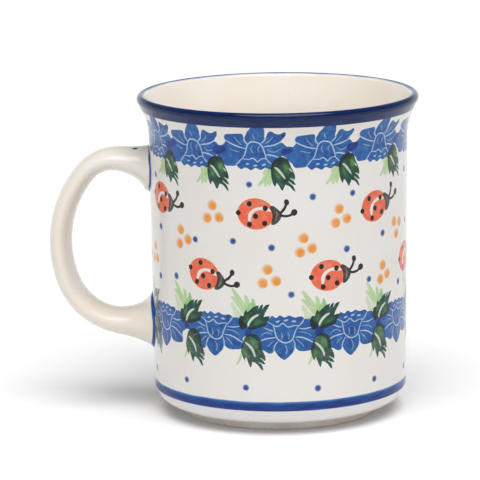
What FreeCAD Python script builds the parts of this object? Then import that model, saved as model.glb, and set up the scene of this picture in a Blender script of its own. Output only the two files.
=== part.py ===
"""Stoneware mug: a flared cup with a loop handle, its slip joints and its coats of glaze.

Millimetres, +Z up. The origin is the centre of the foot on the surface the mug stands on, and the
handle points along -X.
"""
import FreeCAD
import Part
import math
import os
import Sketcher

from FreeCAD import Placement, Rotation, Vector

# Driving dimensions: alias, value in millimetres or degrees, and what it is.
DIMENSIONS = [
    ("mug_height", 102.0, "resting plane to the crest of the lip"),
    ("glaze", 0.3, "thickness of every coat of glaze"),
    ("foot_radius", 30.8, "outside of the bare foot ring"),
    ("foot_height", 3.3, "resting plane to the heel"),
    ("foot_width", 4.0, "width of the ring it stands on"),
    ("foot_bevel", 0.4, "sponged-off edges of the foot"),
    ("recess_height", 1.8, "hollow under the foot"),
    ("heel_radius", 6.2, "round of the heel"),
    ("wall_low_radius", 40.2, "outside of the wall just above the heel"),
    ("wall_high_radius", 40.85, "outside of the wall where the flare begins"),
    ("flare_start", 88.3, "height at which the flare begins"),
    ("flare_radius", 19.5, "hollow curve of the flare"),
    ("lip_centre_radius", 43.0, "centre of the round of the lip"),
    ("lip_radius", 1.5, "round of the lip"),
    ("wall_thickness", 4.1, "wall and both its coats"),
    ("inner_flare_start", 83.0, "height at which the inside begins to flare"),
    ("inner_flare_radius", 30.0, "curve of the flare inside"),
    ("floor_height", 8.4, "inside floor"),
    ("corner_radius", 9.0, "round between the inside wall and the floor"),
    ("base_band_low", 8.25, "lower edge of the cobalt line round the base"),
    ("base_band_high", 11.3, "upper edge of that line"),
    ("rim_band_low", 97.45, "lower edge of the cobalt rim"),
    ("rim_inner_radius", 41.9, "where the cobalt rim ends inside the lip"),
    ("slip_thickness", 0.8, "slip between the handle and the wall"),
    ("handle_start_height", 78.95, "handle's centreline at the upper joint"),
    ("handle_start_radius", 40.0, "distance of that point from the axis"),
    ("handle_start_rise", 15.6, "slope of the centreline there, degrees"),
    ("handle_root", 1.8, "how far the loop is built into the wall before it is trimmed"),
    ("grip_thickness", 6.9, "handle's thickness at the grip"),
    ("grip_width", 15.4, "handle's width at the grip"),
    ("joint_spread", 0.55, "width gained for each millimetre of thickness gained"),
]

# How the handle thickens towards its joints. Each is millimetres gained at the joint on one side of the
# handle, and the distance over which that dies away.
FLARES = [
    ("upper_outer", 4.2, 3.5),
    ("upper_inner", 5.1, 5.2),
    ("lower_outer", 5.0, 6.2),
    ("lower_inner", 6.4, 4.8),
]

# The loop of the handle: tangent arcs from the upper joint to the lower one, all turning downwards.
# Each is a radius in millimetres and the angle that it turns through in degrees.
LOOP_ARCS = [
    ("lead_in", 50.4, 12.7),
    ("shoulder", 13.2, 52.8),
    ("grip", 35.3, 61.3),
    ("heel_bend", 19.7, 63.7),
    ("lead_out", 77.8, 8.1),
]
STATIONS_PER_ARC = 4


def make_sheet(doc):
    """The spreadsheet that drives every sketch."""
    sheet = doc.addObject("Spreadsheet::Sheet", "dims")
    rows = list(DIMENSIONS)
    for name, radius, angle in LOOP_ARCS:
        rows.append((name + "_radius", radius, "radius of the handle's " + name))
        rows.append((name + "_angle", angle, "angle the handle's " + name + " turns through"))
    for name, gain, reach in FLARES:
        side = name.replace("_", " joint's ") + " side"
        rows.append((name + "_gain", gain, "thickness gained on the " + side))
        rows.append((name + "_reach", reach, "distance over which that dies away"))
    for row, (alias, value, note) in enumerate(rows, start=1):
        sheet.set(f"A{row}", alias)
        sheet.set(f"B{row}", str(value))
        sheet.set(f"C{row}", note)
        sheet.setAlias(f"B{row}", alias)
    doc.recompute()
    return sheet


def origin_plane(body, role):
    """One of a body's own origin planes, such as XZ_Plane."""
    return next(item for item in body.Origin.OriginFeatures if item.Role == role)


def tangent_points(first, second):
    """Ends of the line that leaves one round corner and meets the next.

    A corner is (x, z, radius, turn): turn is 1 where the outline turns left round its centre, -1 where
    it turns right, and radius 0 is a sharp corner.
    """
    x1, z1, radius1, turn1 = first
    x2, z2, radius2, turn2 = second
    heading = math.atan2(z2 - z1, x2 - x1)
    distance = math.hypot(x2 - x1, z2 - z1)
    lean = math.asin((turn2 * radius2 - turn1 * radius1) / distance)
    side = heading - math.pi / 2 - lean
    offset = Vector(math.cos(side), math.sin(side), 0)
    start = Vector(x1, z1, 0) + offset * (turn1 * radius1)
    end = Vector(x2, z2, 0) + offset * (turn2 * radius2)
    return start, end


def arc_between(corner, start, end):
    """The arc of a round corner, always drawn anticlockwise as the sketcher wants it."""
    x, z, radius, turn = corner
    centre = Vector(x, z, 0)
    circle = Part.Circle(centre, Vector(0, 0, 1), radius)
    first, last = (start, end) if turn > 0 else (end, start)
    from_angle = math.atan2(first.y - z, first.x - x)
    to_angle = math.atan2(last.y - z, last.x - x)
    return Part.ArcOfCircle(circle, from_angle, to_angle)


def bind(sketch, kind, where, expression):
    """Add a dimension to a sketch and tie it to the spreadsheet."""
    value = sketch.evalExpression(expression)
    index = sketch.addConstraint(Sketcher.Constraint(kind, *where, float(value)))
    sketch.setExpression(f"Constraints[{index}]", expression)


def place_point(sketch, geometry, position, x_expression, z_expression):
    """Fix a sketch point by its distances from the origin."""
    axis_point = (-1, 1)
    if x_expression == "0":
        sketch.addConstraint(Sketcher.Constraint("PointOnObject", geometry, position, -2))
    else:
        bind(sketch, "DistanceX", (*axis_point, geometry, position), x_expression)
    if z_expression == "0":
        sketch.addConstraint(Sketcher.Constraint("PointOnObject", geometry, position, -1))
    else:
        bind(sketch, "DistanceY", (*axis_point, geometry, position), z_expression)


def draw_outline(sketch, corners):
    """A closed outline of straight lines joined by sharp corners and tangent arcs.

    Each corner is (x, z, radius, turn), the first three as expressions on the spreadsheet.
    """
    numbers = []
    for x, z, radius, turn in corners:
        numbers.append((*(float(sketch.evalExpression(text)) for text in (x, z, radius)), turn))
    count = len(corners)
    sides = [tangent_points(numbers[i], numbers[(i + 1) % count]) for i in range(count)]
    for start, end in sides:
        sketch.addGeometry(Part.LineSegment(start, end))
    for i, (x, z, radius, turn) in enumerate(corners):
        arriving = (i - 1) % count
        if numbers[i][2] == 0:
            sketch.addConstraint(Sketcher.Constraint("Coincident", arriving, 2, i, 1))
            place_point(sketch, i, 1, x, z)
            continue
        arc = sketch.addGeometry(arc_between(numbers[i], sides[arriving][1], sides[i][0]))
        arc_start, arc_end = (1, 2) if turn > 0 else (2, 1)
        sketch.addConstraint(Sketcher.Constraint("Tangent", arriving, 2, arc, arc_start))
        sketch.addConstraint(Sketcher.Constraint("Tangent", arc, arc_end, i, 1))
        place_point(sketch, arc, 3, x, z)
        bind(sketch, "Radius", (arc,), radius)


def turned_body(doc, label, corners):
    """A body thrown on the wheel: an outline turned round the Z axis."""
    body = doc.addObject("PartDesign::Body", label)
    sketch = body.newObject("Sketcher::SketchObject", label + "_outline")
    sketch.AttachmentSupport = (origin_plane(body, "XZ_Plane"), [""])
    sketch.MapMode = "FlatFace"
    doc.recompute()
    draw_outline(sketch, corners)
    turn = body.newObject("PartDesign::Revolution", label + "_turned")
    turn.Profile = sketch
    turn.ReferenceAxis = (sketch, ["V_Axis"])
    turn.Angle = 360.0
    body.Tip = turn
    doc.recompute()
    return body


def cup_outline(inset):
    """Half section of the cup. inset, an expression, takes a coat of that thickness off each glazed side."""
    inner_low = "dims.wall_low_radius - dims.wall_thickness"
    foot_inner = "dims.foot_radius - dims.foot_width"
    return [
        ("0", f"dims.recess_height + ({inset})", "0", 1),
        (foot_inner, f"dims.recess_height + ({inset})", "0", -1),
        (foot_inner, "dims.foot_bevel", "0", 1),
        (f"{foot_inner} + dims.foot_bevel", "0", "0", 1),
        ("dims.foot_radius - dims.foot_bevel", "0", "0", 1),
        ("dims.foot_radius", "dims.foot_bevel", "0", 1),
        ("dims.foot_radius", f"dims.foot_height + ({inset})", "0", -1),
        (
            "dims.wall_low_radius - dims.heel_radius",
            "dims.foot_height + dims.heel_radius",
            f"dims.heel_radius - ({inset})",
            1,
        ),
        (
            "dims.wall_high_radius + dims.flare_radius",
            "dims.flare_start",
            f"dims.flare_radius + ({inset})",
            -1,
        ),
        (
            "dims.lip_centre_radius",
            "dims.mug_height - dims.lip_radius",
            f"dims.lip_radius - ({inset})",
            1,
        ),
        (
            "dims.wall_high_radius - dims.wall_thickness + dims.inner_flare_radius",
            "dims.inner_flare_start",
            f"dims.inner_flare_radius - ({inset})",
            1,
        ),
        (
            f"{inner_low} - dims.corner_radius",
            "dims.floor_height + dims.corner_radius",
            f"dims.corner_radius + ({inset})",
            -1,
        ),
        ("0", f"dims.floor_height - ({inset})", "0", 1),
    ]


def inside_outline():
    """Everything on the cup's inner side of a line that runs up the middle of the wall and the lip."""
    middle = "dims.wall_low_radius - dims.wall_thickness / 2"
    under_floor = "dims.floor_height - 3 * dims.glaze"
    return [
        ("0", under_floor, "0", 1),
        (middle, under_floor, "0", 1),
        (middle, "dims.flare_start", "0", 1),
        ("dims.rim_inner_radius", "dims.rim_band_low + dims.lip_radius", "0", 1),
        ("dims.rim_inner_radius", "dims.mug_height + 1", "0", 1),
        ("0", "dims.mug_height + 1", "0", 1),
    ]


def boolean(doc, kind, label, base, tool):
    """A Part::Cut or Part::Common of two objects."""
    result = doc.addObject(kind, label)
    result.Base = base
    result.Tool = tool
    doc.recompute()
    return result


def slab(doc, label, low, high):
    """A flat disc wider than the whole mug between two heights, which are expressions."""
    disc = doc.addObject("Part::Cylinder", label)
    disc.setExpression("Radius", "dims.wall_high_radius * 2.5")
    disc.setExpression("Height", f"({high}) - ({low})")
    disc.setExpression(".Placement.Base.z", low)
    doc.recompute()
    return disc


def loop_stations(sheet):
    """Points along the handle's centreline: place, heading and distance from the upper joint."""
    heading = math.radians(sheet.handle_start_rise)
    place = Vector(sheet.handle_start_radius, 0, sheet.handle_start_height)
    travelled = 0.0
    root = Vector(math.cos(heading), 0, math.sin(heading)) * sheet.handle_root
    stations = [(place - root, heading, -sheet.handle_root), (place, heading, travelled)]
    for name, _, _ in LOOP_ARCS:
        radius = getattr(sheet, name + "_radius")
        step = math.radians(getattr(sheet, name + "_angle")) / STATIONS_PER_ARC
        chord = 2 * radius * math.sin(step / 2)
        for _ in range(STATIONS_PER_ARC):
            along = heading - step / 2
            place = place + Vector(math.cos(along), 0, math.sin(along)) * chord
            heading -= step
            travelled += radius * step
            stations.append((place, heading, travelled))
    root = Vector(math.cos(heading), 0, math.sin(heading)) * sheet.handle_root
    stations.append((place + root, heading, travelled + sheet.handle_root))
    return stations, travelled


def loop_section(body, number, station, length, inset):
    """One oval section of the handle, square to the centreline."""
    place, heading, travelled = station
    away = {"upper": max(travelled, 0.0), "lower": max(length - travelled, 0.0)}

    def side_gain(side):
        return " + ".join(
            f"dims.{joint}_{side}_gain * exp(-{distance:.3f} / dims.{joint}_{side}_reach)"
            for joint, distance in away.items()
        )

    outer, inner = side_gain("outer"), side_gain("inner")
    gained = f"{outer} + {inner}"
    thickness = f"dims.grip_thickness + {gained} - 2 * ({inset})"
    width = f"dims.grip_width + dims.joint_spread * ({gained}) - 2 * ({inset})"
    sketch = body.newObject("Sketcher::SketchObject", f"{body.Label}_section_{number}")
    sketch.AttachmentSupport = (origin_plane(body, "XY_Plane"), [""])
    sketch.MapMode = "FlatFace"
    tangent = Vector(-math.cos(heading), 0, math.sin(heading))
    across = Vector(0, 1, 0)
    into_loop = tangent.cross(across)
    sideways = (float(sketch.evalExpression(inner)) - float(sketch.evalExpression(outer))) / 2
    mirrored = Vector(-place.x, 0, place.z) + into_loop * sideways
    sketch.AttachmentOffset = Placement(mirrored, Rotation(across, into_loop, tangent, "ZXY"))
    half_width = float(sketch.evalExpression(width)) / 2
    half_thickness = float(sketch.evalExpression(thickness)) / 2
    ellipse = Part.Ellipse(Vector(half_width, 0, 0), Vector(0, half_thickness, 0), Vector(0, 0, 0))
    sketch.addGeometry(ellipse)
    sketch.exposeInternalGeometry(0)
    sketch.addConstraint(Sketcher.Constraint("Coincident", 0, 3, -1, 1))
    sketch.addConstraint(Sketcher.Constraint("Horizontal", 1))
    bind(sketch, "Distance", (1,), width)
    bind(sketch, "Distance", (2,), thickness)
    return sketch


def loop_body(doc, label, sheet, inset):
    """The handle as a loft of oval sections, both ends buried in the wall."""
    body = doc.addObject("PartDesign::Body", label)
    stations, length = loop_stations(sheet)
    sketches = []
    for number, station in enumerate(stations):
        sketches.append(loop_section(body, number, station, length, inset))
    doc.recompute()
    loft = body.newObject("PartDesign::AdditiveLoft", label + "_loft")
    loft.Profile = sketches[0]
    loft.Sections = sketches[1:]
    body.Tip = loft
    doc.recompute()
    return body


def make_cup(doc):
    """The clay cup, the same cup with its glaze on, and the whole coat between them."""
    clay = turned_body(doc, "cup_body", cup_outline("dims.glaze"))
    glazed = turned_body(doc, "glazed_cup", cup_outline("0 * dims.glaze"))
    coat = boolean(doc, "Part::Cut", "whole_coat", glazed, clay)
    return clay, glazed, coat


def trimmed_loop(doc, label, sheet, inset):
    """The handle with its two roots trimmed off in the middle of the wall."""
    loop = loop_body(doc, label + "_loop", sheet, inset)
    hollow = doc.addObject("Part::Cylinder", label + "_hollow")
    hollow.setExpression("Radius", "dims.wall_low_radius - dims.wall_thickness / 2")
    hollow.setExpression("Height", "dims.mug_height")
    return boolean(doc, "Part::Cut", label, loop, hollow)


def make_handle(doc, sheet, clay, glazed):
    """The clay handle, the slip under its two ends and the glaze over it."""
    core = trimmed_loop(doc, "handle_core", sheet, "dims.glaze")
    skin = trimmed_loop(doc, "handle_skin", sheet, "0 * dims.glaze")
    slip_reach = turned_body(doc, "slip_reach", cup_outline("dims.glaze - dims.slip_thickness"))
    handle = boolean(doc, "Part::Cut", "handle", core, slip_reach)
    in_slip = boolean(doc, "Part::Common", "handle_in_slip", core, slip_reach)
    slip = boolean(doc, "Part::Cut", "both_slip_joints", in_slip, clay)
    middle = "dims.mug_height / 2"
    above = slab(doc, "upper_half", middle, "dims.mug_height")
    below = slab(doc, "lower_half", "dims.foot_height", middle)
    upper = boolean(doc, "Part::Common", "upper_slip_joint", slip, above)
    lower = boolean(doc, "Part::Common", "lower_slip_joint", slip, below)
    sleeve = boolean(doc, "Part::Cut", "handle_sleeve", skin, core)
    coat = boolean(doc, "Part::Cut", "handle_glaze", sleeve, glazed)
    return core, [handle, upper, lower, coat]


def make_coats(doc, coat, core):
    """The cup's coat parted into the bands that the decorator keeps apart."""
    inside_space = turned_body(doc, "inside_space", inside_outline())
    inside = boolean(doc, "Part::Common", "inside_glaze", coat, inside_space)
    outside = boolean(doc, "Part::Cut", "outside_coat", coat, inside_space)
    top = "dims.mug_height + 1"
    wall_slab = slab(doc, "wall_slab", "dims.base_band_high", "dims.rim_band_low")
    wall = boolean(doc, "Part::Common", "painted_wall_coat", outside, wall_slab)
    return [
        inside,
        boolean(doc, "Part::Cut", "wall_glaze", wall, core),
        band(doc, "rim_glaze", outside, "dims.rim_band_low", top),
        band(doc, "base_band_glaze", outside, "dims.base_band_low", "dims.base_band_high"),
        band(doc, "heel_glaze", outside, "dims.foot_height", "dims.base_band_low"),
        band(doc, "underside_glaze", outside, "dims.foot_bevel", "dims.foot_height - dims.glaze"),
    ]


def band(doc, label, coat, low, high):
    """The part of a coat between two heights."""
    return boolean(doc, "Part::Common", label, coat, slab(doc, label + "_slab", low, high))


def check(doc, parts):
    """Stop if any object failed or any piece is not a sound solid."""
    for item in doc.Objects:
        if "Invalid" in item.State or "Error" in item.State:
            raise RuntimeError(f"{item.Label} failed: {item.State}")
    for item in parts:
        if item.Shape.isNull() or not item.Shape.isValid() or not item.Shape.Solids:
            raise RuntimeError(f"{item.Label} is not a sound solid")


def main():
    doc = FreeCAD.newDocument("mug")
    sheet = make_sheet(doc)
    clay, glazed, coat = make_cup(doc)
    core, handle_parts = make_handle(doc, sheet, clay, glazed)
    parts = [clay] + handle_parts + make_coats(doc, coat, core)
    check(doc, parts)
    os.makedirs("parts", exist_ok=True)
    for item in parts:
        item.Shape.exportStep(f"parts/{item.Label}.step")
        solids = len(item.Shape.Solids)
        print(f"{item.Label}: {solids} solid, {item.Shape.Volume / 1000:.3f} cm3")


main()
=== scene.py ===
"""Looks of a flared stoneware mug: cobalt bands, stamped underglaze flowers, ladybirds and dots.

Lengths are worked out in millimetres and turned to metres when a mesh is made.
"""
import math
import random

import bpy
import numpy as np
from mathutils import Matrix, Vector
from mathutils.geometry import delaunay_2d_cdt


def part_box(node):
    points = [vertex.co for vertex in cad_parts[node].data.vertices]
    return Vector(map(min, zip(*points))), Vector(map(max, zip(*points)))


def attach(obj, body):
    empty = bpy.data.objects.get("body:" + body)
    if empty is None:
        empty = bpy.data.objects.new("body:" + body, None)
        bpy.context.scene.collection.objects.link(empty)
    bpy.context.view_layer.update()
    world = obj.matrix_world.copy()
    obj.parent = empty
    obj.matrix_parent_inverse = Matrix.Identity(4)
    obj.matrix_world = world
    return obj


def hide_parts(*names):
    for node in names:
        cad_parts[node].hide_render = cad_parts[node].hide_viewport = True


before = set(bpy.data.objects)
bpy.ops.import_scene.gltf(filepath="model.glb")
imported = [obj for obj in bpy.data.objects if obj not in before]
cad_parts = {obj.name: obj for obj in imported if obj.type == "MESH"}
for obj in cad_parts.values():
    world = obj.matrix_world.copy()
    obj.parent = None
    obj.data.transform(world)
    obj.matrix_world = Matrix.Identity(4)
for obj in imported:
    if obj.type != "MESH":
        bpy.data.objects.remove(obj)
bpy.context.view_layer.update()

MM = 0.001
SHARP = "sharp"


def millimetres(node):
    """Lowest and highest corner of a CAD node, in millimetres."""
    low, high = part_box(node)
    return Vector(low) / MM, Vector(high) / MM


# ---------------------------------------------------------------- sizes of the mug

RIM_LOW, RIM_HIGH = millimetres("rim_glaze")
BAND_LOW, BAND_HIGH = millimetres("base_band_glaze")
MUG_HEIGHT = RIM_HIGH.z
GLAZE = 0.3
FOOT_RADIUS = 30.8
FOOT_HEIGHT = millimetres("heel_glaze")[0].z
FOOT_RING = 4.0
FOOT_INSIDE = FOOT_RADIUS - FOOT_RING
FOOT_BEVEL = 0.4
RECESS = 1.8
RECESS_ROUND = 0.6
HEEL_RADIUS = 6.2
WALL_LOW_RADIUS = 40.2
WALL_HIGH_RADIUS = 40.85
WALL_THICKNESS = 4.1
FLARE_START = 88.3
FLARE_RADIUS = 19.5
INNER_FLARE_START = 83.0
INNER_FLARE_RADIUS = 30.0
LIP_RADIUS = 1.5
LIP_CENTRE_RADIUS = 43.0
RIM_INNER_RADIUS = 41.9
FLOOR_HEIGHT = millimetres("inside_glaze")[0].z + GLAZE
CORNER_RADIUS = 9.0

# The pattern is drawn flat: millimetres round the wall at this radius, and height above the table.
PATTERN_RADIUS = 40.5
ROUND_THE_WALL = 2 * math.pi * PATTERN_RADIUS
# The face of the pattern that looks at the camera, measured round the axis from +X.
FACE_ANGLE = math.radians(-85)

# Centreline of the handle: where it leaves the wall, its slope, and its tangent arcs, each a radius in
# millimetres and the degrees that it turns through.
HANDLE_START = (40.0, 78.95)
HANDLE_RISE = math.radians(15.6)
HANDLE_ARCS = [
    (50.4, 12.7),
    (13.2, 52.8),
    (35.3, 61.3),
    (19.7, 63.7),
    (77.8, 8.1),
]
# How far the loop runs on into the wall, and the radius, inside the wall, that neither end goes past.
HANDLE_ROOT = 2.6
HANDLE_ROOT_RADIUS = 38.6
GRIP_THICKNESS = 6.9
GRIP_WIDTH = 15.4
JOINT_SPREAD = 0.55
# Millimetres that each side of the handle gains at each joint, and how fast that dies away.
HANDLE_FLARES = [
    ("Upper outer", 4.2, 3.5),
    ("Upper inner", 5.1, 5.2),
    ("Lower outer", 5.0, 6.2),
    ("Lower inner", 6.4, 4.8),
]


# ---------------------------------------------------------------- flat outlines


def catmull_rom(points, step):
    """A smooth open line through the points, sampled about every step."""
    p = np.array(points, float)
    padded = np.vstack([2 * p[0] - p[1], p, 2 * p[-1] - p[-2]])
    line = []
    for a, b, c, d in zip(padded, padded[1:], padded[2:], padded[3:]):
        count = max(1, int(math.ceil(np.linalg.norm(c - b) / step)))
        for t in np.arange(count) / count:
            line.append(
                0.5 * (2 * b + (c - a) * t + (2 * a - 5 * b + 4 * c - d) * t**2
                       + (3 * b - a - 3 * c + d) * t**3)
            )
    line.append(p[-1])
    return line


def outline(points, step=0.45):
    """A closed outline. It is smooth through its points except those marked SHARP."""
    places = [point[:2] for point in points]
    corners = [i for i, point in enumerate(points) if len(point) == 3]
    if not corners:
        looped = places[-2:] + places + places[:2]
        whole = catmull_rom(looped, step)
        start = next(i for i, q in enumerate(whole) if np.allclose(q, places[0]))
        end = max(i for i, q in enumerate(whole) if np.allclose(q, places[0]))
        return whole[start:end]
    shape = []
    turned = places[corners[0]:] + places[:corners[0]] + [places[corners[0]]]
    breaks = [c - corners[0] for c in corners] + [len(places)]
    for first, last in zip(breaks, breaks[1:]):
        shape += catmull_rom(turned[first:last + 1], step)[:-1]
    return shape


def stroke(points, width, blunt=0.35, step=0.5):
    """A brush stroke: a smooth line with a width that thins towards both ends."""
    line = np.array(catmull_rom(points, step))
    along = np.gradient(line, axis=0)
    along /= np.linalg.norm(along, axis=1)[:, None]
    side = np.column_stack([-along[:, 1], along[:, 0]])
    t = np.linspace(0, 1, len(line))
    half = width / 2 * (blunt + (1 - blunt) * np.sin(math.pi * t) ** 0.5)
    left = line + side * half[:, None]
    right = line - side * half[:, None]
    return list(left) + list(right[::-1])


def oval(x, z, radius, stretch=1.0, lean=0.0, count=20):
    """An oval outline; stretch lengthens it along the lean, which is in degrees."""
    shape = []
    for i in range(count):
        a = 2 * math.pi * i / count
        p, q = radius * stretch * math.cos(a), radius * math.sin(a)
        c, s = math.cos(math.radians(lean)), math.sin(math.radians(lean))
        shape.append(np.array([x + p * c - q * s, z + p * s + q * c]))
    return shape


# ---------------------------------------------------------------- the stamps

# A stamp is a list of marks: (edge or pool, its points, its ink, its strength). An edge fills its
# outline. A pool is a soft place, a centre and two half axes, that only shows on what is already inked.

BARE = "bare glaze"


def fill(points, ink, strength=1.0):
    """Ink inside a crisp outline, which is put in anticlockwise order."""
    loop = np.array(points)
    x, z = loop[:, 0], loop[:, 1]
    if np.sum(x * np.roll(z, -1) - z * np.roll(x, -1)) < 0:
        loop = loop[::-1]
    return ("edge", loop, ink, strength)


def pool(x, z, radius, stretch, lean, ink, strength):
    """Ink that gathers softly in an oval."""
    c, s = math.cos(math.radians(lean)), math.sin(math.radians(lean))
    centre = np.array([x, z])
    long_axis = centre + np.array([c, s]) * radius * stretch
    short_axis = centre + np.array([-s, c]) * radius
    return ("pool", np.array([centre, long_axis, short_axis]), ink, strength)


def set_at(home, marks):
    """The marks moved so that the height home becomes their origin."""
    return [(kind, points - np.array([0.0, home]), ink, strength) for kind, points, ink, strength in marks]


def lines(width, strength, *paths, ink="thin blue"):
    """Carved lines of one width, where that share of the pigment thins to a pale wash."""
    return [fill(stroke(path, width), ink, strength) for path in paths]


def upright_flower():
    """The flower of the band under the rim; its trumpet opens downwards at (0, 0)."""
    silhouette = outline([
        (-9.5, 93.6), (-9.2, 94.5), (-8.4, 94.9), (-6.4, 95.1), (-4.5, 95.25), (-3.7, 95.1),
        (-3.45, 94.2), (-3.3, 93.7, SHARP), (-2.8, 94.7), (-2.3, 95.8), (-1.4, 96.8), (-0.6, 97.6),
        (2.4, 97.6), (2.8, 96.5), (2.9, 95.6), (2.75, 94.5), (2.9, 93.8, SHARP), (3.4, 94.7),
        (3.7, 95.5), (4.2, 96.1), (4.9, 96.15), (5.9, 95.5), (6.8, 95.25), (7.7, 95.45),
        (8.4, 95.95), (9.0, 95.7), (8.9, 94.8), (8.3, 93.9), (7.5, 93.0), (7.2, 92.5, SHARP),
        (8.1, 92.5), (9.1, 91.5), (10.1, 91.3), (11.0, 91.2), (11.3, 90.2), (10.5, 89.3),
        (9.2, 88.8), (7.9, 88.3), (7.2, 87.4), (6.3, 86.7), (5.6, 85.9), (5.7, 85.2), (5.1, 84.5),
        (4.4, 84.25), (3.6, 84.6), (2.9, 84.75), (2.1, 84.3), (1.5, 84.1), (0.8, 84.4),
        (0.0, 84.7), (-0.8, 84.2), (-1.5, 83.95), (-2.3, 84.4), (-3.2, 84.7), (-3.9, 84.3),
        (-4.6, 84.15), (-5.3, 84.7), (-5.9, 85.3, SHARP), (-6.6, 85.05), (-8.2, 84.95),
        (-9.4, 85.0), (-10.1, 85.7, SHARP), (-10.4, 86.4, SHARP), (-11.3, 87.1), (-12.2, 88.2),
        (-13.4, 89.0), (-13.8, 90.0), (-12.9, 90.9), (-11.0, 91.2), (-9.9, 91.6), (-9.1, 92.8),
    ])
    dark = [
        pool(2.3, 88.3, 0.75, 1.3, 80, "cobalt pool", 0.8),
        pool(-4.2, 89.4, 0.5, 2.0, 75, "cobalt pool", 0.6),
        pool(-4.7, 87.4, 0.55, 1.4, 60, "cobalt pool", 0.6),
        pool(8.5, 95.0, 0.6, 1.7, 50, "cobalt pool", 0.7),
        pool(-1.0, 86.4, 0.4, 2.4, 10, "cobalt pool", 0.35),
        pool(0.2, 89.5, 0.5, 2.6, 80, "cobalt pool", 0.35),
        pool(-5.4, 93.2, 0.5, 2.4, -55, "cobalt pool", 0.4),
        pool(4.9, 93.6, 0.5, 2.0, 50, "cobalt pool", 0.35),
        pool(5.2, 85.4, 0.8, 1.5, 30, "cobalt pool", 0.7),
        pool(-2.2, 93.6, 0.4, 2.4, 70, "cobalt pool", 0.3),
    ]
    bold = lines(
        0.44, 0.9,
        [(-9.9, 93.3), (-8.0, 92.2), (-6.0, 91.3), (-4.2, 90.75), (-2.9, 90.55)],
        [(-3.3, 94.5), (-3.3, 93.3), (-2.9, 92.5), (-2.4, 91.9)],
        [(-4.3, 87.2), (-3.5, 88.2), (-3.0, 89.6), (-2.7, 90.8), (-2.3, 91.8), (-1.6, 92.5),
         (-0.7, 92.75), (0.4, 92.6), (1.3, 92.2), (2.0, 91.4), (2.5, 90.3), (2.9, 89.0),
         (3.2, 87.8), (3.5, 87.1)],
        [(3.1, 94.6), (3.0, 93.7), (2.5, 93.0), (1.7, 92.2)],
        [(8.0, 93.2), (6.9, 92.4), (5.5, 91.8), (4.1, 91.5), (2.4, 91.2)],
        [(3.1, 88.75), (4.3, 88.7), (5.6, 88.45), (7.0, 88.0)],
    )
    fine = lines(
        0.36, 0.85,
        [(-4.0, 87.3), (-2.9, 87.3), (-2.0, 87.2), (-1.2, 87.6), (-0.5, 87.55), (0.1, 87.0),
         (0.6, 86.5), (1.2, 87.0), (1.9, 87.5), (2.8, 87.65), (3.5, 87.2)],
        [(-4.2, 87.4), (-4.9, 86.6), (-5.5, 85.9), (-6.2, 85.1)],
        [(3.5, 87.3), (4.0, 86.6), (4.8, 86.0)],
    )
    faint = lines(
        0.3, 0.5,
        [(-6.2, 94.2), (-5.7, 93.2), (-4.9, 92.3), (-4.0, 91.5)],
        [(-7.8, 90.2), (-6.3, 89.7), (-4.5, 89.3)],
        [(-0.7, 95.4), (-0.5, 94.5), (-0.15, 93.6)],
        [(5.3, 94.5), (4.7, 93.6), (3.9, 92.8), (3.0, 92.3)],
        [(3.5, 90.5), (4.3, 89.9), (5.3, 89.6), (6.4, 89.85), (7.5, 90.7)],
        [(-0.9, 91.6), (-1.3, 90.6), (-1.2, 89.9), (-0.6, 89.2)],
        [(1.6, 91.5), (0.85, 90.7), (0.8, 90.1), (1.2, 89.4)],
    )
    marks = lines(
        0.55, 0.85,
        [(-3.0, 85.75), (-2.4, 85.85), (-1.9, 85.85)],
        [(-0.7, 85.3), (0.0, 85.4), (0.6, 85.5)],
        [(2.0, 85.5), (2.6, 85.75), (3.1, 86.0)],
    )
    return set_at(90, [fill(silhouette, "flower blue")] + dark + bold + fine + faint + marks)


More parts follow.
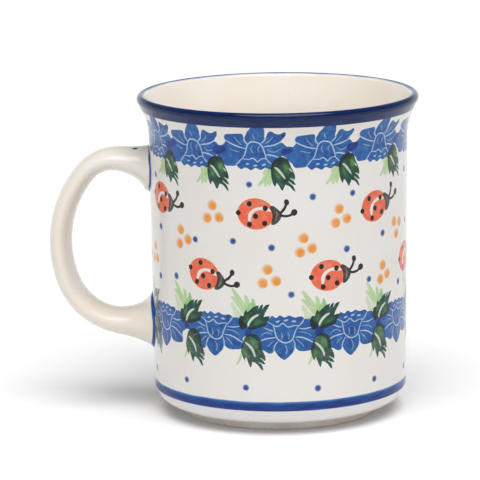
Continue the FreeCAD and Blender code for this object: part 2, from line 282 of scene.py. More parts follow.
def hanging_flower():
    """The flower of the lower band, stamped upside down."""
    silhouette = outline([
        (-4.9, 37.9), (-4.1, 38.8), (-3.5, 38.5), (-2.8, 38.1), (-2.1, 38.6), (-1.6, 38.95),
        (-0.9, 38.6), (-0.3, 38.25), (0.5, 38.5), (1.2, 38.85), (2.1, 38.5), (3.1, 38.15),
        (4.0, 38.3), (4.9, 38.45), (5.6, 38.1), (6.0, 37.7, SHARP), (6.9, 37.6), (8.0, 37.6),
        (9.2, 36.6), (10.6, 35.4), (12.0, 34.4), (12.2, 33.2), (10.8, 32.2), (9.4, 31.2),
        (9.3, 30.0), (9.4, 28.9), (9.3, 28.1), (8.4, 27.6), (7.0, 27.4), (5.6, 27.3),
        (4.4, 27.5), (3.5, 28.1), (3.0, 28.9, SHARP), (2.7, 28.0), (2.3, 27.0), (1.4, 26.0),
        (0.4, 25.1), (-0.3, 24.75), (-1.0, 25.0), (-2.0, 25.8), (-2.9, 26.9), (-3.3, 27.8, SHARP),
        (-3.8, 27.2), (-4.4, 26.8), (-5.2, 26.8), (-6.2, 27.4), (-7.2, 27.85), (-8.1, 27.8),
        (-8.5, 28.6), (-8.6, 29.8), (-9.0, 30.9), (-10.4, 31.9), (-12.2, 32.1), (-12.7, 33.2),
        (-12.0, 34.4), (-10.2, 35.2), (-8.2, 35.9), (-6.4, 36.6),
    ])
    dark = [
        pool(0.2, 32.0, 0.6, 1.3, 90, "cobalt pool", 0.8),
        pool(2.7, 34.6, 0.5, 1.3, 0, "cobalt pool", 0.7),
        pool(-2.9, 30.4, 0.5, 1.7, 60, "cobalt pool", 0.7),
        pool(-0.4, 27.7, 0.6, 1.6, 90, "cobalt pool", 0.6),
        pool(2.1, 27.6, 0.6, 1.5, 60, "cobalt pool", 0.5),
        pool(-1.7, 32.2, 0.4, 2.2, 95, "cobalt pool", 0.4),
        pool(4.6, 37.3, 0.6, 1.5, 0, "cobalt pool", 0.4),
        pool(7.6, 29.1, 0.8, 1.3, 0, "cobalt pool", 0.5),
        pool(-6.2, 31.9, 0.4, 2.0, 10, "cobalt pool", 0.4),
        pool(5.2, 32.4, 0.4, 2.6, -10, "cobalt pool", 0.35),
    ]
    bold = lines(
        0.42, 0.9,
        [(-3.9, 36.1), (-3.4, 34.8), (-3.1, 33.4), (-2.8, 32.2), (-2.2, 31.3), (-1.3, 30.6),
         (-0.3, 30.2), (0.8, 30.3), (1.8, 30.8), (2.4, 31.6), (2.8, 32.7), (3.2, 33.8),
         (3.8, 34.9), (4.4, 35.6)],
        [(3.0, 31.9), (4.2, 31.9), (5.4, 31.7), (6.8, 31.1), (8.2, 30.3), (9.8, 29.4)],
        [(-2.8, 31.9), (-4.5, 31.7), (-6.2, 31.4), (-7.6, 30.8), (-8.9, 30.2)],
    )
    fine = lines(
        0.36, 0.85,
        [(-5.6, 37.0), (-4.5, 36.3), (-3.8, 35.9), (-3.0, 35.4), (-2.1, 35.5), (-1.2, 36.1),
         (-0.7, 36.4), (-0.1, 35.9), (0.6, 35.3), (1.4, 35.2), (2.4, 35.5), (3.6, 35.6),
         (4.3, 35.4)],
        [(4.3, 35.3), (4.9, 36.0), (5.6, 36.9), (6.2, 37.9)],
        [(4.2, 34.7), (5.3, 34.5), (6.6, 34.5), (7.9, 34.8), (8.6, 35.0)],
        [(2.5, 31.3), (2.9, 30.2), (3.0, 29.0), (2.9, 28.0), (2.7, 27.2)],
        [(-2.2, 30.8), (-2.9, 29.9), (-3.4, 28.9), (-3.6, 27.9), (-3.8, 27.0)],
        [(-3.7, 33.9), (-4.8, 34.2), (-5.7, 34.6), (-6.6, 34.95)],
    )
    faint = lines(
        0.3, 0.5,
        [(4.0, 33.5), (5.1, 33.45), (6.3, 33.2), (7.3, 32.8), (8.2, 32.1)],
        [(3.4, 31.3), (4.2, 30.6), (5.1, 29.8), (5.9, 28.7)],
        [(-3.3, 30.9), (-4.4, 30.1), (-5.5, 28.9)],
        [(-3.9, 32.5), (-4.8, 33.2), (-5.9, 33.4), (-6.9, 32.9), (-7.6, 32.2)],
        [(-0.3, 29.6), (0.3, 28.8), (0.5, 27.9), (0.4, 27.1), (0.0, 26.5)],
        [(-1.2, 33.6), (-0.95, 32.6), (-1.0, 31.8), (-1.25, 31.2)],
        [(0.7, 33.5), (1.15, 32.7), (1.2, 32.0), (0.9, 31.2)],
    )
    marks = lines(
        0.6, 0.85,
        [(-2.9, 36.75), (-2.3, 36.95), (-1.7, 37.15)],
        [(-0.4, 37.15), (0.3, 37.3), (1.0, 37.55)],
        [(2.0, 36.9), (2.7, 36.95), (3.4, 36.85)],
    )
    return set_at(32, [fill(silhouette, "lower flower blue")] + dark + bold + fine + faint + marks)


def drooping_leaf():
    """The leaf that hangs from the upper band, to the right of each flower."""
    blade = outline([
        (4.8, 86.2), (5.5, 87.2), (6.8, 88.0), (8.0, 88.2), (9.3, 87.6), (10.0, 86.6),
        (10.7, 84.9), (11.5, 83.2), (11.85, 82.0), (11.7, 81.0, SHARP), (10.9, 81.5, SHARP),
        (11.6, 80.3), (12.1, 79.5, SHARP), (11.3, 79.6), (10.6, 80.0, SHARP), (11.4, 78.8),
        (12.0, 77.3, SHARP), (11.2, 77.8), (10.2, 79.0), (8.9, 79.6, SHARP), (8.4, 78.6),
        (8.0, 77.7, SHARP), (7.5, 78.2), (7.0, 79.2), (6.2, 80.2, SHARP), (6.0, 79.5),
        (5.7, 78.9, SHARP), (5.1, 79.9), (4.7, 81.4), (4.5, 83.2), (4.5, 84.8),
    ])
    vein = lines(
        0.75, 0.8,
        [(5.5, 85.0), (6.4, 84.5), (7.2, 83.6), (8.0, 82.6), (8.8, 81.4)],
        ink="pale vein",
    )
    slits = lines(
        0.42, 0.7,
        [(9.8, 80.6), (10.6, 79.9), (11.4, 79.3)],
        [(10.3, 81.6), (11.0, 81.2), (11.7, 80.7)],
        [(10.0, 84.6), (10.5, 84.1), (11.0, 83.5)],
        ink="pale vein",
    )
    shade = [
        pool(9.2, 84.9, 0.7, 2.4, -60, "leaf light", 0.85),
        pool(6.4, 82.6, 0.7, 2.6, -70, "leaf light", 0.5),
        pool(7.6, 79.2, 1.4, 1.6, -60, "leaf teal", 0.7),
        pool(11.4, 79.0, 1.2, 1.8, -60, "leaf teal", 0.7),
        pool(7.4, 86.8, 1.2, 1.9, 5, "leaf shade", 0.95),
        pool(10.6, 83.0, 0.4, 3.0, -65, "leaf shade", 0.5),
        pool(5.0, 83.0, 0.4, 2.6, 95, "leaf shade", 0.5),
        pool(8.9, 81.0, 0.6, 1.6, -50, "leaf shade", 0.5),
    ]
    return set_at(83, [fill(blade, "leaf green")] + shade + vein + slits)


def drooping_wisps():
    """Pale strokes that fan out to the left of the drooping leaf."""
    return set_at(83, [
        fill(stroke([(4.9, 85.2), (3.4, 83.2), (2.0, 81.0), (0.4, 79.4)], 1.3), "pale green", 0.75),
        fill(stroke([(4.9, 84.8), (4.0, 82.6), (3.1, 80.8), (2.6, 79.2)], 1.5), "pale green", 0.75),
        fill(stroke([(5.0, 84.6), (4.6, 82.4), (4.2, 80.8), (3.9, 79.4)], 1.2), "pale green", 0.75),
        fill(stroke([(5.2, 85.6), (4.2, 84.8), (3.0, 84.0), (2.2, 82.9)], 1.4), "pale green", 0.7),
    ])


def rising_leaf():
    """The leaf that stands on the lower band, between two flowers."""
    blade = outline([
        (-4.6, 34.3), (-5.2, 36.1), (-4.9, 37.7), (-4.3, 38.3), (-3.6, 38.2, SHARP), (-3.2, 39.5),
        (-2.6, 40.2, SHARP), (-2.3, 39.4, SHARP), (-1.2, 40.4), (0.1, 41.4), (1.4, 41.8, SHARP),
        (1.2, 40.5, SHARP), (2.0, 41.7), (2.8, 42.0, SHARP), (2.4, 40.4, SHARP), (3.4, 41.7),
        (4.8, 42.1, SHARP), (4.3, 41.0), (3.4, 39.5), (2.8, 38.0, SHARP), (3.8, 38.3),
        (4.8, 38.3, SHARP), (4.4, 37.3), (3.7, 36.3), (3.6, 35.5), (2.2, 34.9), (0.2, 34.2),
        (-1.3, 34.0), (-2.6, 34.5), (-3.7, 33.9),
    ])
    vein = lines(
        0.8, 0.92,
        [(-2.3, 34.5), (-1.9, 36.0), (-0.9, 37.4), (0.3, 38.3), (1.3, 38.75)],
        ink="pale vein",
    )
    shade = [
        pool(-2.8, 37.4, 0.6, 2.2, 60, "leaf light", 0.45),
        pool(1.0, 36.2, 0.8, 1.8, 30, "leaf light", 0.4),
        pool(2.0, 40.4, 1.4, 1.8, 55, "leaf teal", 0.8),
        pool(-4.2, 36.6, 0.9, 1.6, 80, "leaf shade", 0.9),
        pool(2.2, 37.4, 0.6, 1.9, 30, "leaf shade", 0.7),
        pool(0.6, 40.0, 0.5, 2.2, 60, "leaf shade", 0.4),
    ]
    return set_at(38, [fill(blade, "leaf green", 1.0)] + shade + vein)


def rising_wisps():
    """Pale strokes above and to the left of the rising leaf."""
    return set_at(38, [
        fill(stroke([(-2.0, 38.6), (-4.2, 42.0), (-6.0, 44.5), (-7.5, 46.6)], 1.5), "pale green", 0.8),
        fill(stroke([(-3.4, 38.8), (-5.2, 41.5), (-6.4, 43.0), (-7.8, 43.9)], 1.5), "pale green", 0.7),
        fill(stroke([(-4.0, 38.0), (-5.8, 39.2), (-6.9, 40.6), (-7.5, 42.2)], 1.5), "pale green", 0.5),
        fill(stroke([(-2.4, 39.0), (-2.6, 41.2), (-2.6, 43.0), (-3.2, 44.7)], 1.5), "pale green", 0.8),
        fill(stroke([(-1.2, 39.4), (-0.4, 41.0), (-0.5, 42.4), (-0.8, 43.8)], 1.3), "grass green", 0.85),
        fill(stroke([(-2.6, 39.4), (-1.6, 40.8), (-1.1, 41.8), (-1.0, 42.6)], 1.6), "grass green", 0.8),
        fill(stroke([(-4.6, 38.2), (-5.2, 37.6), (-6.2, 38.0), (-7.0, 39.0)], 0.9), "pale green", 0.5),
    ])


def lower_leaf():
    """The leaf that hangs below the lower band."""
    blade = outline([
        (-3.7, 31.0), (-2.9, 32.1), (-1.6, 32.7), (-0.2, 32.6), (1.0, 31.9), (1.7, 30.8),
        (1.9, 29.4), (2.0, 28.0), (2.5, 26.8), (3.0, 25.6), (3.1, 24.5), (2.8, 24.1, SHARP),
        (1.9, 24.7, SHARP), (2.6, 23.9), (3.1, 23.1, SHARP), (2.4, 23.1), (1.6, 23.5, SHARP),
        (2.2, 22.2), (2.4, 21.0, SHARP), (1.7, 21.4), (1.0, 22.4), (-0.2, 23.5), (-1.1, 23.7, SHARP),
        (-1.3, 22.6), (-1.6, 21.8, SHARP), (-2.2, 22.8), (-2.7, 24.2), (-3.1, 25.4, SHARP),
        (-3.4, 24.6), (-3.7, 24.1, SHARP), (-4.3, 25.6), (-4.7, 27.2), (-4.4, 28.9),
    ])
    vein = lines(
        0.75, 0.88,
        [(-3.3, 29.9), (-2.3, 29.1), (-1.3, 28.0), (-0.6, 26.7), (-0.2, 25.3)],
        ink="pale vein",
    )
    slits = lines(
        0.35, 0.7,
        [(0.9, 23.7), (1.8, 23.2), (2.6, 22.7)],
        [(1.3, 25.1), (2.1, 24.6), (2.8, 24.2)],
        ink="pale vein",
    )
    shade = [
        pool(-0.2, 29.6, 0.9, 2.2, -60, "leaf light", 0.55),
        pool(-3.2, 26.4, 0.7, 2.0, 110, "leaf light", 0.4),
        pool(1.8, 23.2, 1.3, 1.6, 110, "leaf teal", 0.8),
        pool(-1.4, 23.4, 0.9, 1.6, 90, "leaf teal", 0.6),
        pool(2.2, 26.4, 0.5, 2.2, 100, "leaf shade", 0.7),
        pool(-1.4, 32.4, 0.5, 2.6, 5, "leaf shade", 0.6),
        pool(0.6, 27.0, 0.5, 2.2, 105, "leaf shade", 0.5),
    ]
    return set_at(27, [fill(blade, "leaf green", 0.95)] + shade + vein + slits)


def lower_wisps():
    """A thin pale stroke at the lower leaf's left."""
    return set_at(27, [
        fill(stroke([(-4.2, 27.4), (-4.4, 25.8), (-5.0, 24.2), (-5.9, 22.6)], 0.9), "pale green", 0.75),
        fill(stroke([(-3.4, 26.0), (-3.3, 25.0), (-3.3, 24.2), (-3.4, 23.6)], 0.5), "pale green", 0.5),
    ])


def ladybird_shell():
    """The coral wing cases, with the pale gleam left bare."""
    gleam = outline([
        (-2.2, -2.1), (-2.2, -0.6), (-1.5, 0.8), (-0.2, 1.7), (1.4, 2.15), (2.9, 2.2), (4.2, 1.75),
        (4.95, 0.8, SHARP), (3.7, 0.85), (2.4, 1.2), (1.0, 1.15), (-0.2, 0.6), (-1.0, -0.5),
        (-1.3, -1.8), (-1.7, -2.5, SHARP),
    ])
    return [
        fill(oval(0.1, 0.0, 4.88, 1.17, -3, 48), "coral"),
        pool(-3.2, 0.4, 1.3, 1.8, 80, "deep coral", 0.45),
        pool(4.2, -1.3, 0.8, 2.0, 95, "deep coral", 0.5),
        pool(0.8, 3.2, 0.9, 3.0, 5, "light coral", 0.5),
        fill(gleam, BARE, 0.97),
    ]


def ladybird_head():
    """The dark head, its two feelers and the six spots."""
    head = outline([
        (4.5, 2.0), (5.2, 2.6), (6.2, 2.1), (7.2, 1.2), (7.9, 0.6), (8.2, -0.1), (8.0, -0.9),
        (7.5, -1.9), (6.6, -2.9), (5.6, -3.4), (4.85, -3.2), (5.05, -2.3), (5.3, -0.9), (5.1, 0.6),
    ])
    spots = [(-1.8, 3.1), (3.1, 1.8), (-5.3, 0.2), (0.1, -0.7), (-1.8, -3.3), (2.9, -2.9)]
    pieces = [
        fill(head, "charcoal", 0.95),
        fill(stroke([(7.5, 0.1), (8.3, 0.9), (9.0, 1.8), (9.5, 3.0)], 0.85, 0.9), "charcoal", 1.0),
        fill(stroke([(7.5, -0.3), (8.8, -0.65), (10.2, -0.6), (11.5, 0.0)], 0.8, 0.9), "charcoal", 1.0),
        fill(oval(9.6, 3.6, 0.8, 1.25, 100), "charcoal"),
        fill(oval(11.9, 0.4, 0.98, 1.1, 60), "charcoal"),
        fill(stroke([(6.5, 1.0), (6.6, -0.6), (6.2, -2.2)], 0.5), BARE, 0.18),
    ]
    return pieces + [fill(oval(x, z, 0.8, 1.06, 90), "spot black") for x, z in spots]


class Pattern:
    """Every mark on one flat sheet, in the order that the decorator puts them down."""

    def __init__(self, width):
        self.width = width
        self.marks = []
        self.prints = 0

    def stamp(self, marks, x=0.0, z=0.0, lean=0.0, size=1.0):
        """Prints a stamp at (x, z), turned by lean degrees; one that crosses the seam is printed twice."""
        c, s = math.cos(math.radians(lean)) * size, math.sin(math.radians(lean)) * size
        turn = np.array([[c, s], [-s, c]])
        for whole_turn in (-self.width, 0.0, self.width):
            moved = [(kind, points @ turn + [x + whole_turn, z], ink, strength)
                     for kind, points, ink, strength in marks]
            reach = [points for kind, points, ink, strength in moved if kind == "edge"]
            low = min(points[:, 0].min() for points in reach)
            high = max(points[:, 0].max() for points in reach)
            if low < self.width / 2 and high > -self.width / 2:
                self.marks += [(*mark, self.prints) for mark in moved]
                self.prints += 1

    def dot(self, x, z, radius, ink, soft, shift=(0.0, 0.0)):
        """A brush-end dot: full at its middle, which may be shifted, and fading over the soft edge."""
        marks = []
        for share, strength in ((0.5, 0.25), (0.25, 0.4), (0.0, 0.5), (-0.25, 0.6), (-0.5, 0.9)):
            inwards = 0.5 - share
            ring = oval(shift[0] * inwards, shift[1] * inwards, radius + soft * share, 1.0, 0, 18)
            marks.append(fill(ring, ink, strength))
        self.stamp(marks, x, z)


def linear(hex_colour):
    """An sRGB hex colour as linear RGB."""
    parts = np.array([int(hex_colour[i:i + 2], 16) / 255 for i in (1, 3, 5)])
    return np.where(parts <= 0.04045, parts / 12.92, ((parts + 0.055) / 1.055) ** 2.4)


# Colours as they look under the clear glaze on the white-burning clay.
GLAZE_WHITE = "#EAE7E3"
PIGMENTS = {
    "flower blue": "#2160A6",
    "lower flower blue": "#1F5DA2",
    "cobalt pool": "#0A3577",
    "thin blue": "#B7CBE6",
    "pale vein": "#D3E2D2",
    "line blue": "#234E94",
    "dot blue": "#15509C",
    "leaf green": "#154334",
    "leaf shade": "#04242A",
    "leaf light": "#62A852",
    "leaf teal": "#1C5650",
    "pale green": "#A9CC8A",
    "grass green": "#8CC274",
    "coral": "#F6704F",
    "deep coral": "#EC5A3E",
    "light coral": "#F88468",
    "orange": "#F29A3A",
    "charcoal": "#1E1F22",
    "spot black": "#0A0E14",
}


def tint(ink):
    """The share of red, green and blue that an ink lets back through the glaze."""
    if ink == BARE:
        return np.ones(3)
    return np.clip(linear(PIGMENTS[ink]) / linear(GLAZE_WHITE), 0.0, 1.0)


def inside_of(loop, places):
    """Which of the places lie inside a closed outline."""
    x, z = places[:, 0], places[:, 1]
    within = np.zeros(len(places), bool)
    for (x1, z1), (x2, z2) in zip(loop, np.roll(loop, -1, axis=0)):
        crosses = (z1 > z) != (z2 > z)
        if crosses.any():
            meets = x1 + (z - z1) * (x2 - x1) / (z2 - z1 if z2 != z1 else 1e-9)
            within ^= crosses & (x < meets)
    return within


# A second stamp hides some of the first, whose tint then counts only to this power.
UNDERPRINT = 0.6
# Stamps wider and higher than this get points all over. The points keep this far from the sheet's edges.
BIG_STAMP = 3.0
SHEET_MARGIN = 0.3


def painted_sheet(pattern, low, high, columns, spacing, fine):
    """A flat sheet cut along every crisp edge of the pattern.

    Returns its places, its triangles and the tint at each corner of each triangle. Stamped places get
    points as close as fine, the rest as close as spacing.
    """
    half = pattern.width / 2
    across = np.linspace(-half, half, columns + 1)
    up = np.linspace(low, high, max(2, round((high - low) / spacing)) + 1)
    border = [(x, low) for x in across] + [(half, z) for z in up[1:-1]]
    border += [(x, high) for x in across[::-1]] + [(-half, z) for z in up[-2:0:-1]]
    places = [Vector(place) for place in border]
    faces = [list(range(len(border)))]
    edges = [mark for mark in pattern.marks if mark[0] == "edge"]
    for kind, points, ink, strength, number in edges:
        faces.append(list(range(len(places), len(places) + len(points))))
        places += [Vector(point) for point in points]
    inner = []
    for row, z in enumerate(up[1:-1]):
        for x in np.arange(-half + spacing * (0.5 if row % 2 else 1.0), half - spacing * 0.4, spacing):
            inner.append((x, z))
    silhouettes = {}
    for kind, points, ink, strength, number in edges:
        silhouettes.setdefault(number, points)
    for points in silhouettes.values():
        if np.ptp(points[:, 0]) > BIG_STAMP and np.ptp(points[:, 1]) > BIG_STAMP:
            xs = np.arange(points[:, 0].min(), points[:, 0].max(), fine)
            zs = np.arange(points[:, 1].min(), points[:, 1].max(), fine)
            lattice = np.array([(x + (i % 2) * fine / 2, z) for i, z in enumerate(zs) for x in xs])
            kept = inside_of(points, lattice)
            kept &= abs(lattice[:, 0]) < half - SHEET_MARGIN
            kept &= lattice[:, 1] > low + SHEET_MARGIN
            kept &= lattice[:, 1] < high - SHEET_MARGIN
            inner += [tuple(place) for place in lattice[kept]]
    places += [Vector(place) for place in inner]
    cut = delaunay_2d_cdt(places, [], faces, 0, 1e-5)
    points = np.array([tuple(place) for place in cut[0]])
    triangles = np.array(cut[2])
    owners = cut[5]
    keep = [i for i, owner in enumerate(owners) if 0 in owner]
    triangles = triangles[keep]
    covering = [[] for edge in edges]
    for row, i in enumerate(keep):
        for owner in owners[i]:
            if owner > 0:
                covering[owner - 1].append(row)
    corners = points[triangles]
    pigment = np.ones(corners.shape[:2] + (3,))
    printed = np.ones_like(pigment)
    edge_rows = iter(covering)
    for number in range(pattern.prints):
        inked = np.zeros(0, int)
        for kind, outline_points, ink, strength, print_number in pattern.marks:
            if print_number != number:
                continue
            if kind == "edge":
                rows = np.array(next(edge_rows), int)
                inked = np.union1d(inked, rows)
                share = strength
            else:
                rows = inked
                centre, long_end, short_end = outline_points
                long_axis, short_axis = long_end - centre, short_end - centre
                a = (corners[rows] - centre) @ long_axis / (long_axis @ long_axis)
                b = (corners[rows] - centre) @ short_axis / (short_axis @ short_axis)
                share = (strength * np.exp(-(a**2 + b**2)))[..., None]
            printed[rows] = printed[rows] * (1 - share) + tint(ink) * share
        pigment[inked] = pigment[inked] ** UNDERPRINT * printed[inked]
        printed[inked] = 1.0
    return points, triangles, pigment


# ---------------------------------------------------------------- outlines of the cup


def tangent_line(first, second):
    """Ends of the straight run between two round corners, each (radius out, height, round, turn)."""
    x1, z1, round1, turn1 = first
    x2, z2, round2, turn2 = second
    heading = math.atan2(z2 - z1, x2 - x1)
    lean = math.asin((turn2 * round2 - turn1 * round1) / math.hypot(x2 - x1, z2 - z1))
    side = heading - math.pi / 2 - lean
    out = np.array([math.cos(side), math.sin(side)])
    return np.array([x1, z1]) + out * turn1 * round1, np.array([x2, z2]) + out * turn2 * round2


def turned_outline(corners, arc_step=3.0, line_step=2.0):
    """Points of a half section: straight runs between round corners, all tangent."""
    runs = [tangent_line(a, b) for a, b in zip(corners, corners[1:])]
    points = []
    for i, (start, end) in enumerate(runs):
        count = max(1, round(np.linalg.norm(end - start) / line_step))
        points += [start + (end - start) * t for t in np.arange(count) / count]
        if i + 1 == len(runs):
            points.append(end)
            continue
        x, z, radius, turn = corners[i + 1]
        if radius == 0:
            continue
        first = math.atan2(end[1] - z, end[0] - x)
        last = math.atan2(runs[i + 1][0][1] - z, runs[i + 1][0][0] - x)
        sweep = (last - first) * turn % (2 * math.pi) * turn
        count = max(2, math.ceil(abs(math.degrees(sweep)) / arc_step))
        for t in np.arange(count) / count:
            a = first + sweep * t
            points.append(np.array([x + radius * math.cos(a), z + radius * math.sin(a)]))
    return np.array(points)


def stretch_of(points, measure, low, high):
    """The stretch of an outline whose measure, which rises along it, runs from low to high."""
    values = np.array([measure(p) for p in points])
    ends = [np.array([np.interp(v, values, points[:, k]) for k in (0, 1)]) for v in (low, high)]
    between = points[(values > low + 0.02) & (values < high - 0.02)]
    return np.vstack([ends[0], between, ends[1]])


HEEL = (WALL_LOW_RADIUS - HEEL_RADIUS, FOOT_HEIGHT + HEEL_RADIUS, HEEL_RADIUS, 1)
FLARE = (WALL_HIGH_RADIUS + FLARE_RADIUS, FLARE_START, FLARE_RADIUS, -1)
LIP = (LIP_CENTRE_RADIUS, MUG_HEIGHT - LIP_RADIUS, LIP_RADIUS, 1)
INNER_FLARE = (
    WALL_HIGH_RADIUS - WALL_THICKNESS + INNER_FLARE_RADIUS, INNER_FLARE_START, INNER_FLARE_RADIUS, 1)
CORNER = (WALL_LOW_RADIUS - WALL_THICKNESS - CORNER_RADIUS, FLOOR_HEIGHT + CORNER_RADIUS, CORNER_RADIUS, -1)
SECTION = turned_outline(
    [(FOOT_RADIUS, FOOT_HEIGHT, 0, -1), HEEL, FLARE, LIP, INNER_FLARE, CORNER, (0, FLOOR_HEIGHT, 0, 1)])
CREST = int(np.argmax(SECTION[:, 1]))
OUTSIDE = SECTION[:CREST + 1]
INSIDE = SECTION[CREST:]


def wall_radius(z):
    """Radius of the glazed wall at a height."""
    return np.interp(z, OUTSIDE[:, 1], OUTSIDE[:, 0])


def height(point):
    """Measure of an outline that climbs."""
    return point[1]


def inwards(point):
    """Measure of an outline that runs towards the axis."""
    return -point[0]


def outwards(point):
    """Measure of an outline that runs away from the axis."""
    return point[0]


# ---------------------------------------------------------------- geometry node trees


def add(tree, kind, inputs=None, **settings):
    """Adds a node with its settings; inputs maps a socket to a value or to another node's output."""
    made = tree.nodes.new(kind)
    for name, value in settings.items():
        setattr(made, name, value)
    for socket, value in (inputs or {}).items():
        if isinstance(value, bpy.types.NodeSocket):
            tree.links.new(value, made.inputs[socket])
        else:
            made.inputs[socket].default_value = value
    return made


def reckon(tree, operation, *values, kind="ShaderNodeMath"):
    """One step of arithmetic on sockets and numbers."""
    return add(tree, kind, dict(enumerate(values)), operation=operation).outputs[0]


def geometry_tree(name, sizes):
    """A geometry node tree with named inputs. sizes maps a name to its socket type and default."""
    tree = bpy.data.node_groups.new(name, "GeometryNodeTree")
    tree.interface.new_socket("Geometry", in_out="INPUT", socket_type="NodeSocketGeometry")
    for label, (kind, default) in sizes.items():
        socket = tree.interface.new_socket(label, in_out="INPUT", socket_type=kind)
        if default is not None:
            socket.default_value = default
    tree.interface.new_socket("Geometry", in_out="OUTPUT", socket_type="NodeSocketGeometry")
    return tree, tree.nodes.new("NodeGroupInput").outputs


def close_tree(tree, geometry, glaze, seam=2e-6):
    """Merges the seam, smooths the shading, and ends the tree."""
    merged = add(tree, "GeometryNodeMergeByDistance", {"Geometry": geometry, "Distance": seam})
    smooth = add(tree, "GeometryNodeSetShadeSmooth", {"Geometry": merged.outputs[0]})
    real = add(tree, "GeometryNodeRealizeInstances", {"Geometry": smooth.outputs[0]})
    glazed = add(tree, "GeometryNodeSetMaterial", {"Geometry": real.outputs[0], "Material": glaze})
    add(tree, "NodeGroupOutput", {0: glazed.outputs[0]})


def grid_places(tree, rows, columns):
    """A grid of rows by columns + 1 places, and each place's row and column."""
    wide = reckon(tree, "ADD", columns, 1)
    grid = add(tree, "GeometryNodeMeshGrid", {"Vertices X": rows, "Vertices Y": wide})
    index = add(tree, "GeometryNodeInputIndex").outputs[0]
    row = reckon(tree, "FLOOR", reckon(tree, "DIVIDE", reckon(tree, "ADD", index, 0.5), wide))
    column = reckon(tree, "SUBTRACT", index, reckon(tree, "MULTIPLY", row, wide))
    return grid.outputs["Mesh"], row, column


def round_axis(tree, radius, angle, z):
    """A place at a radius, an angle and a height."""
    x = reckon(tree, "MULTIPLY", radius, reckon(tree, "COSINE", angle))
    y = reckon(tree, "MULTIPLY", radius, reckon(tree, "SINE", angle))
    return add(tree, "ShaderNodeCombineXYZ", {0: x, 1: y, 2: z}).outputs[0]


def keep_field(tree, geometry, name, value, kind="FLOAT"):
    """Stores a field on the points, for the material to read."""
    stored = add(tree, "GeometryNodeStoreNamedAttribute", data_type=kind, domain="POINT")
    stored.inputs["Name"].default_value = name
    tree.links.new(geometry, stored.inputs["Geometry"])
    tree.links.new(value, stored.inputs["Value"])
    return stored.outputs[0]


def turning_tree():
    """Turns an outline, given as a line of points, round the mug's axis."""
    tree, given = geometry_tree("turned coat", {
        "Columns": ("NodeSocketInt", 192),
        "Glaze": ("NodeSocketMaterial", None),
    })
    count = add(tree, "GeometryNodeAttributeDomainSize", {"Geometry": given["Geometry"]}).outputs[0]
    grid, row, column = grid_places(tree, count, given["Columns"])
    place = add(tree, "GeometryNodeSampleIndex", {"Geometry": given["Geometry"]}, data_type="FLOAT_VECTOR")
    tree.links.new(add(tree, "GeometryNodeInputPosition").outputs[0], place.inputs["Value"])
    tree.links.new(row, place.inputs["Index"])
    section = add(tree, "ShaderNodeSeparateXYZ", {0: place.outputs[0]}).outputs
    angle = reckon(tree, "MULTIPLY", reckon(tree, "DIVIDE", column, given["Columns"]), 2 * math.pi)
    angle = reckon(tree, "ADD", angle, FACE_ANGLE + math.pi)
    along = add(tree, "GeometryNodeSampleIndex", {"Geometry": given["Geometry"]}, data_type="FLOAT")
    named = add(tree, "GeometryNodeInputNamedAttribute", {"Name": "along"}, data_type="FLOAT")
    tree.links.new(named.outputs[0], along.inputs["Value"])
    tree.links.new(row, along.inputs["Index"])
    kept = keep_field(tree, grid, "along", along.outputs[0])
    turned = add(tree, "GeometryNodeSetPosition", {
        "Geometry": kept, "Position": round_axis(tree, section[0], angle, section[2])})
    facing_out = add(tree, "GeometryNodeFlipFaces", {"Mesh": turned.outputs[0]})
    close_tree(tree, facing_out.outputs[0], given["Glaze"])
    return tree


def wrapping_tree():
    """Wraps a flat sheet round the wall; the sheet's own field "out" is the wall's radius there."""
    tree, given = geometry_tree("wrapped sheet", {
        "Pattern radius": ("NodeSocketFloat", PATTERN_RADIUS * MM),
        "Face angle": ("NodeSocketFloat", FACE_ANGLE),
        "Glaze": ("NodeSocketMaterial", None),
    })
    flat = add(tree, "ShaderNodeSeparateXYZ", {0: add(tree, "GeometryNodeInputPosition").outputs[0]}).outputs
    angle = reckon(tree, "ADD", reckon(tree, "DIVIDE", flat[0], given["Pattern radius"]), given["Face angle"])
    out = add(tree, "GeometryNodeInputNamedAttribute", {"Name": "out"}, data_type="FLOAT").outputs[0]
    wrapped = add(tree, "GeometryNodeSetPosition", {
        "Geometry": given["Geometry"], "Position": round_axis(tree, out, angle, flat[2])})
    close_tree(tree, wrapped.outputs[0], given["Glaze"])
    return tree


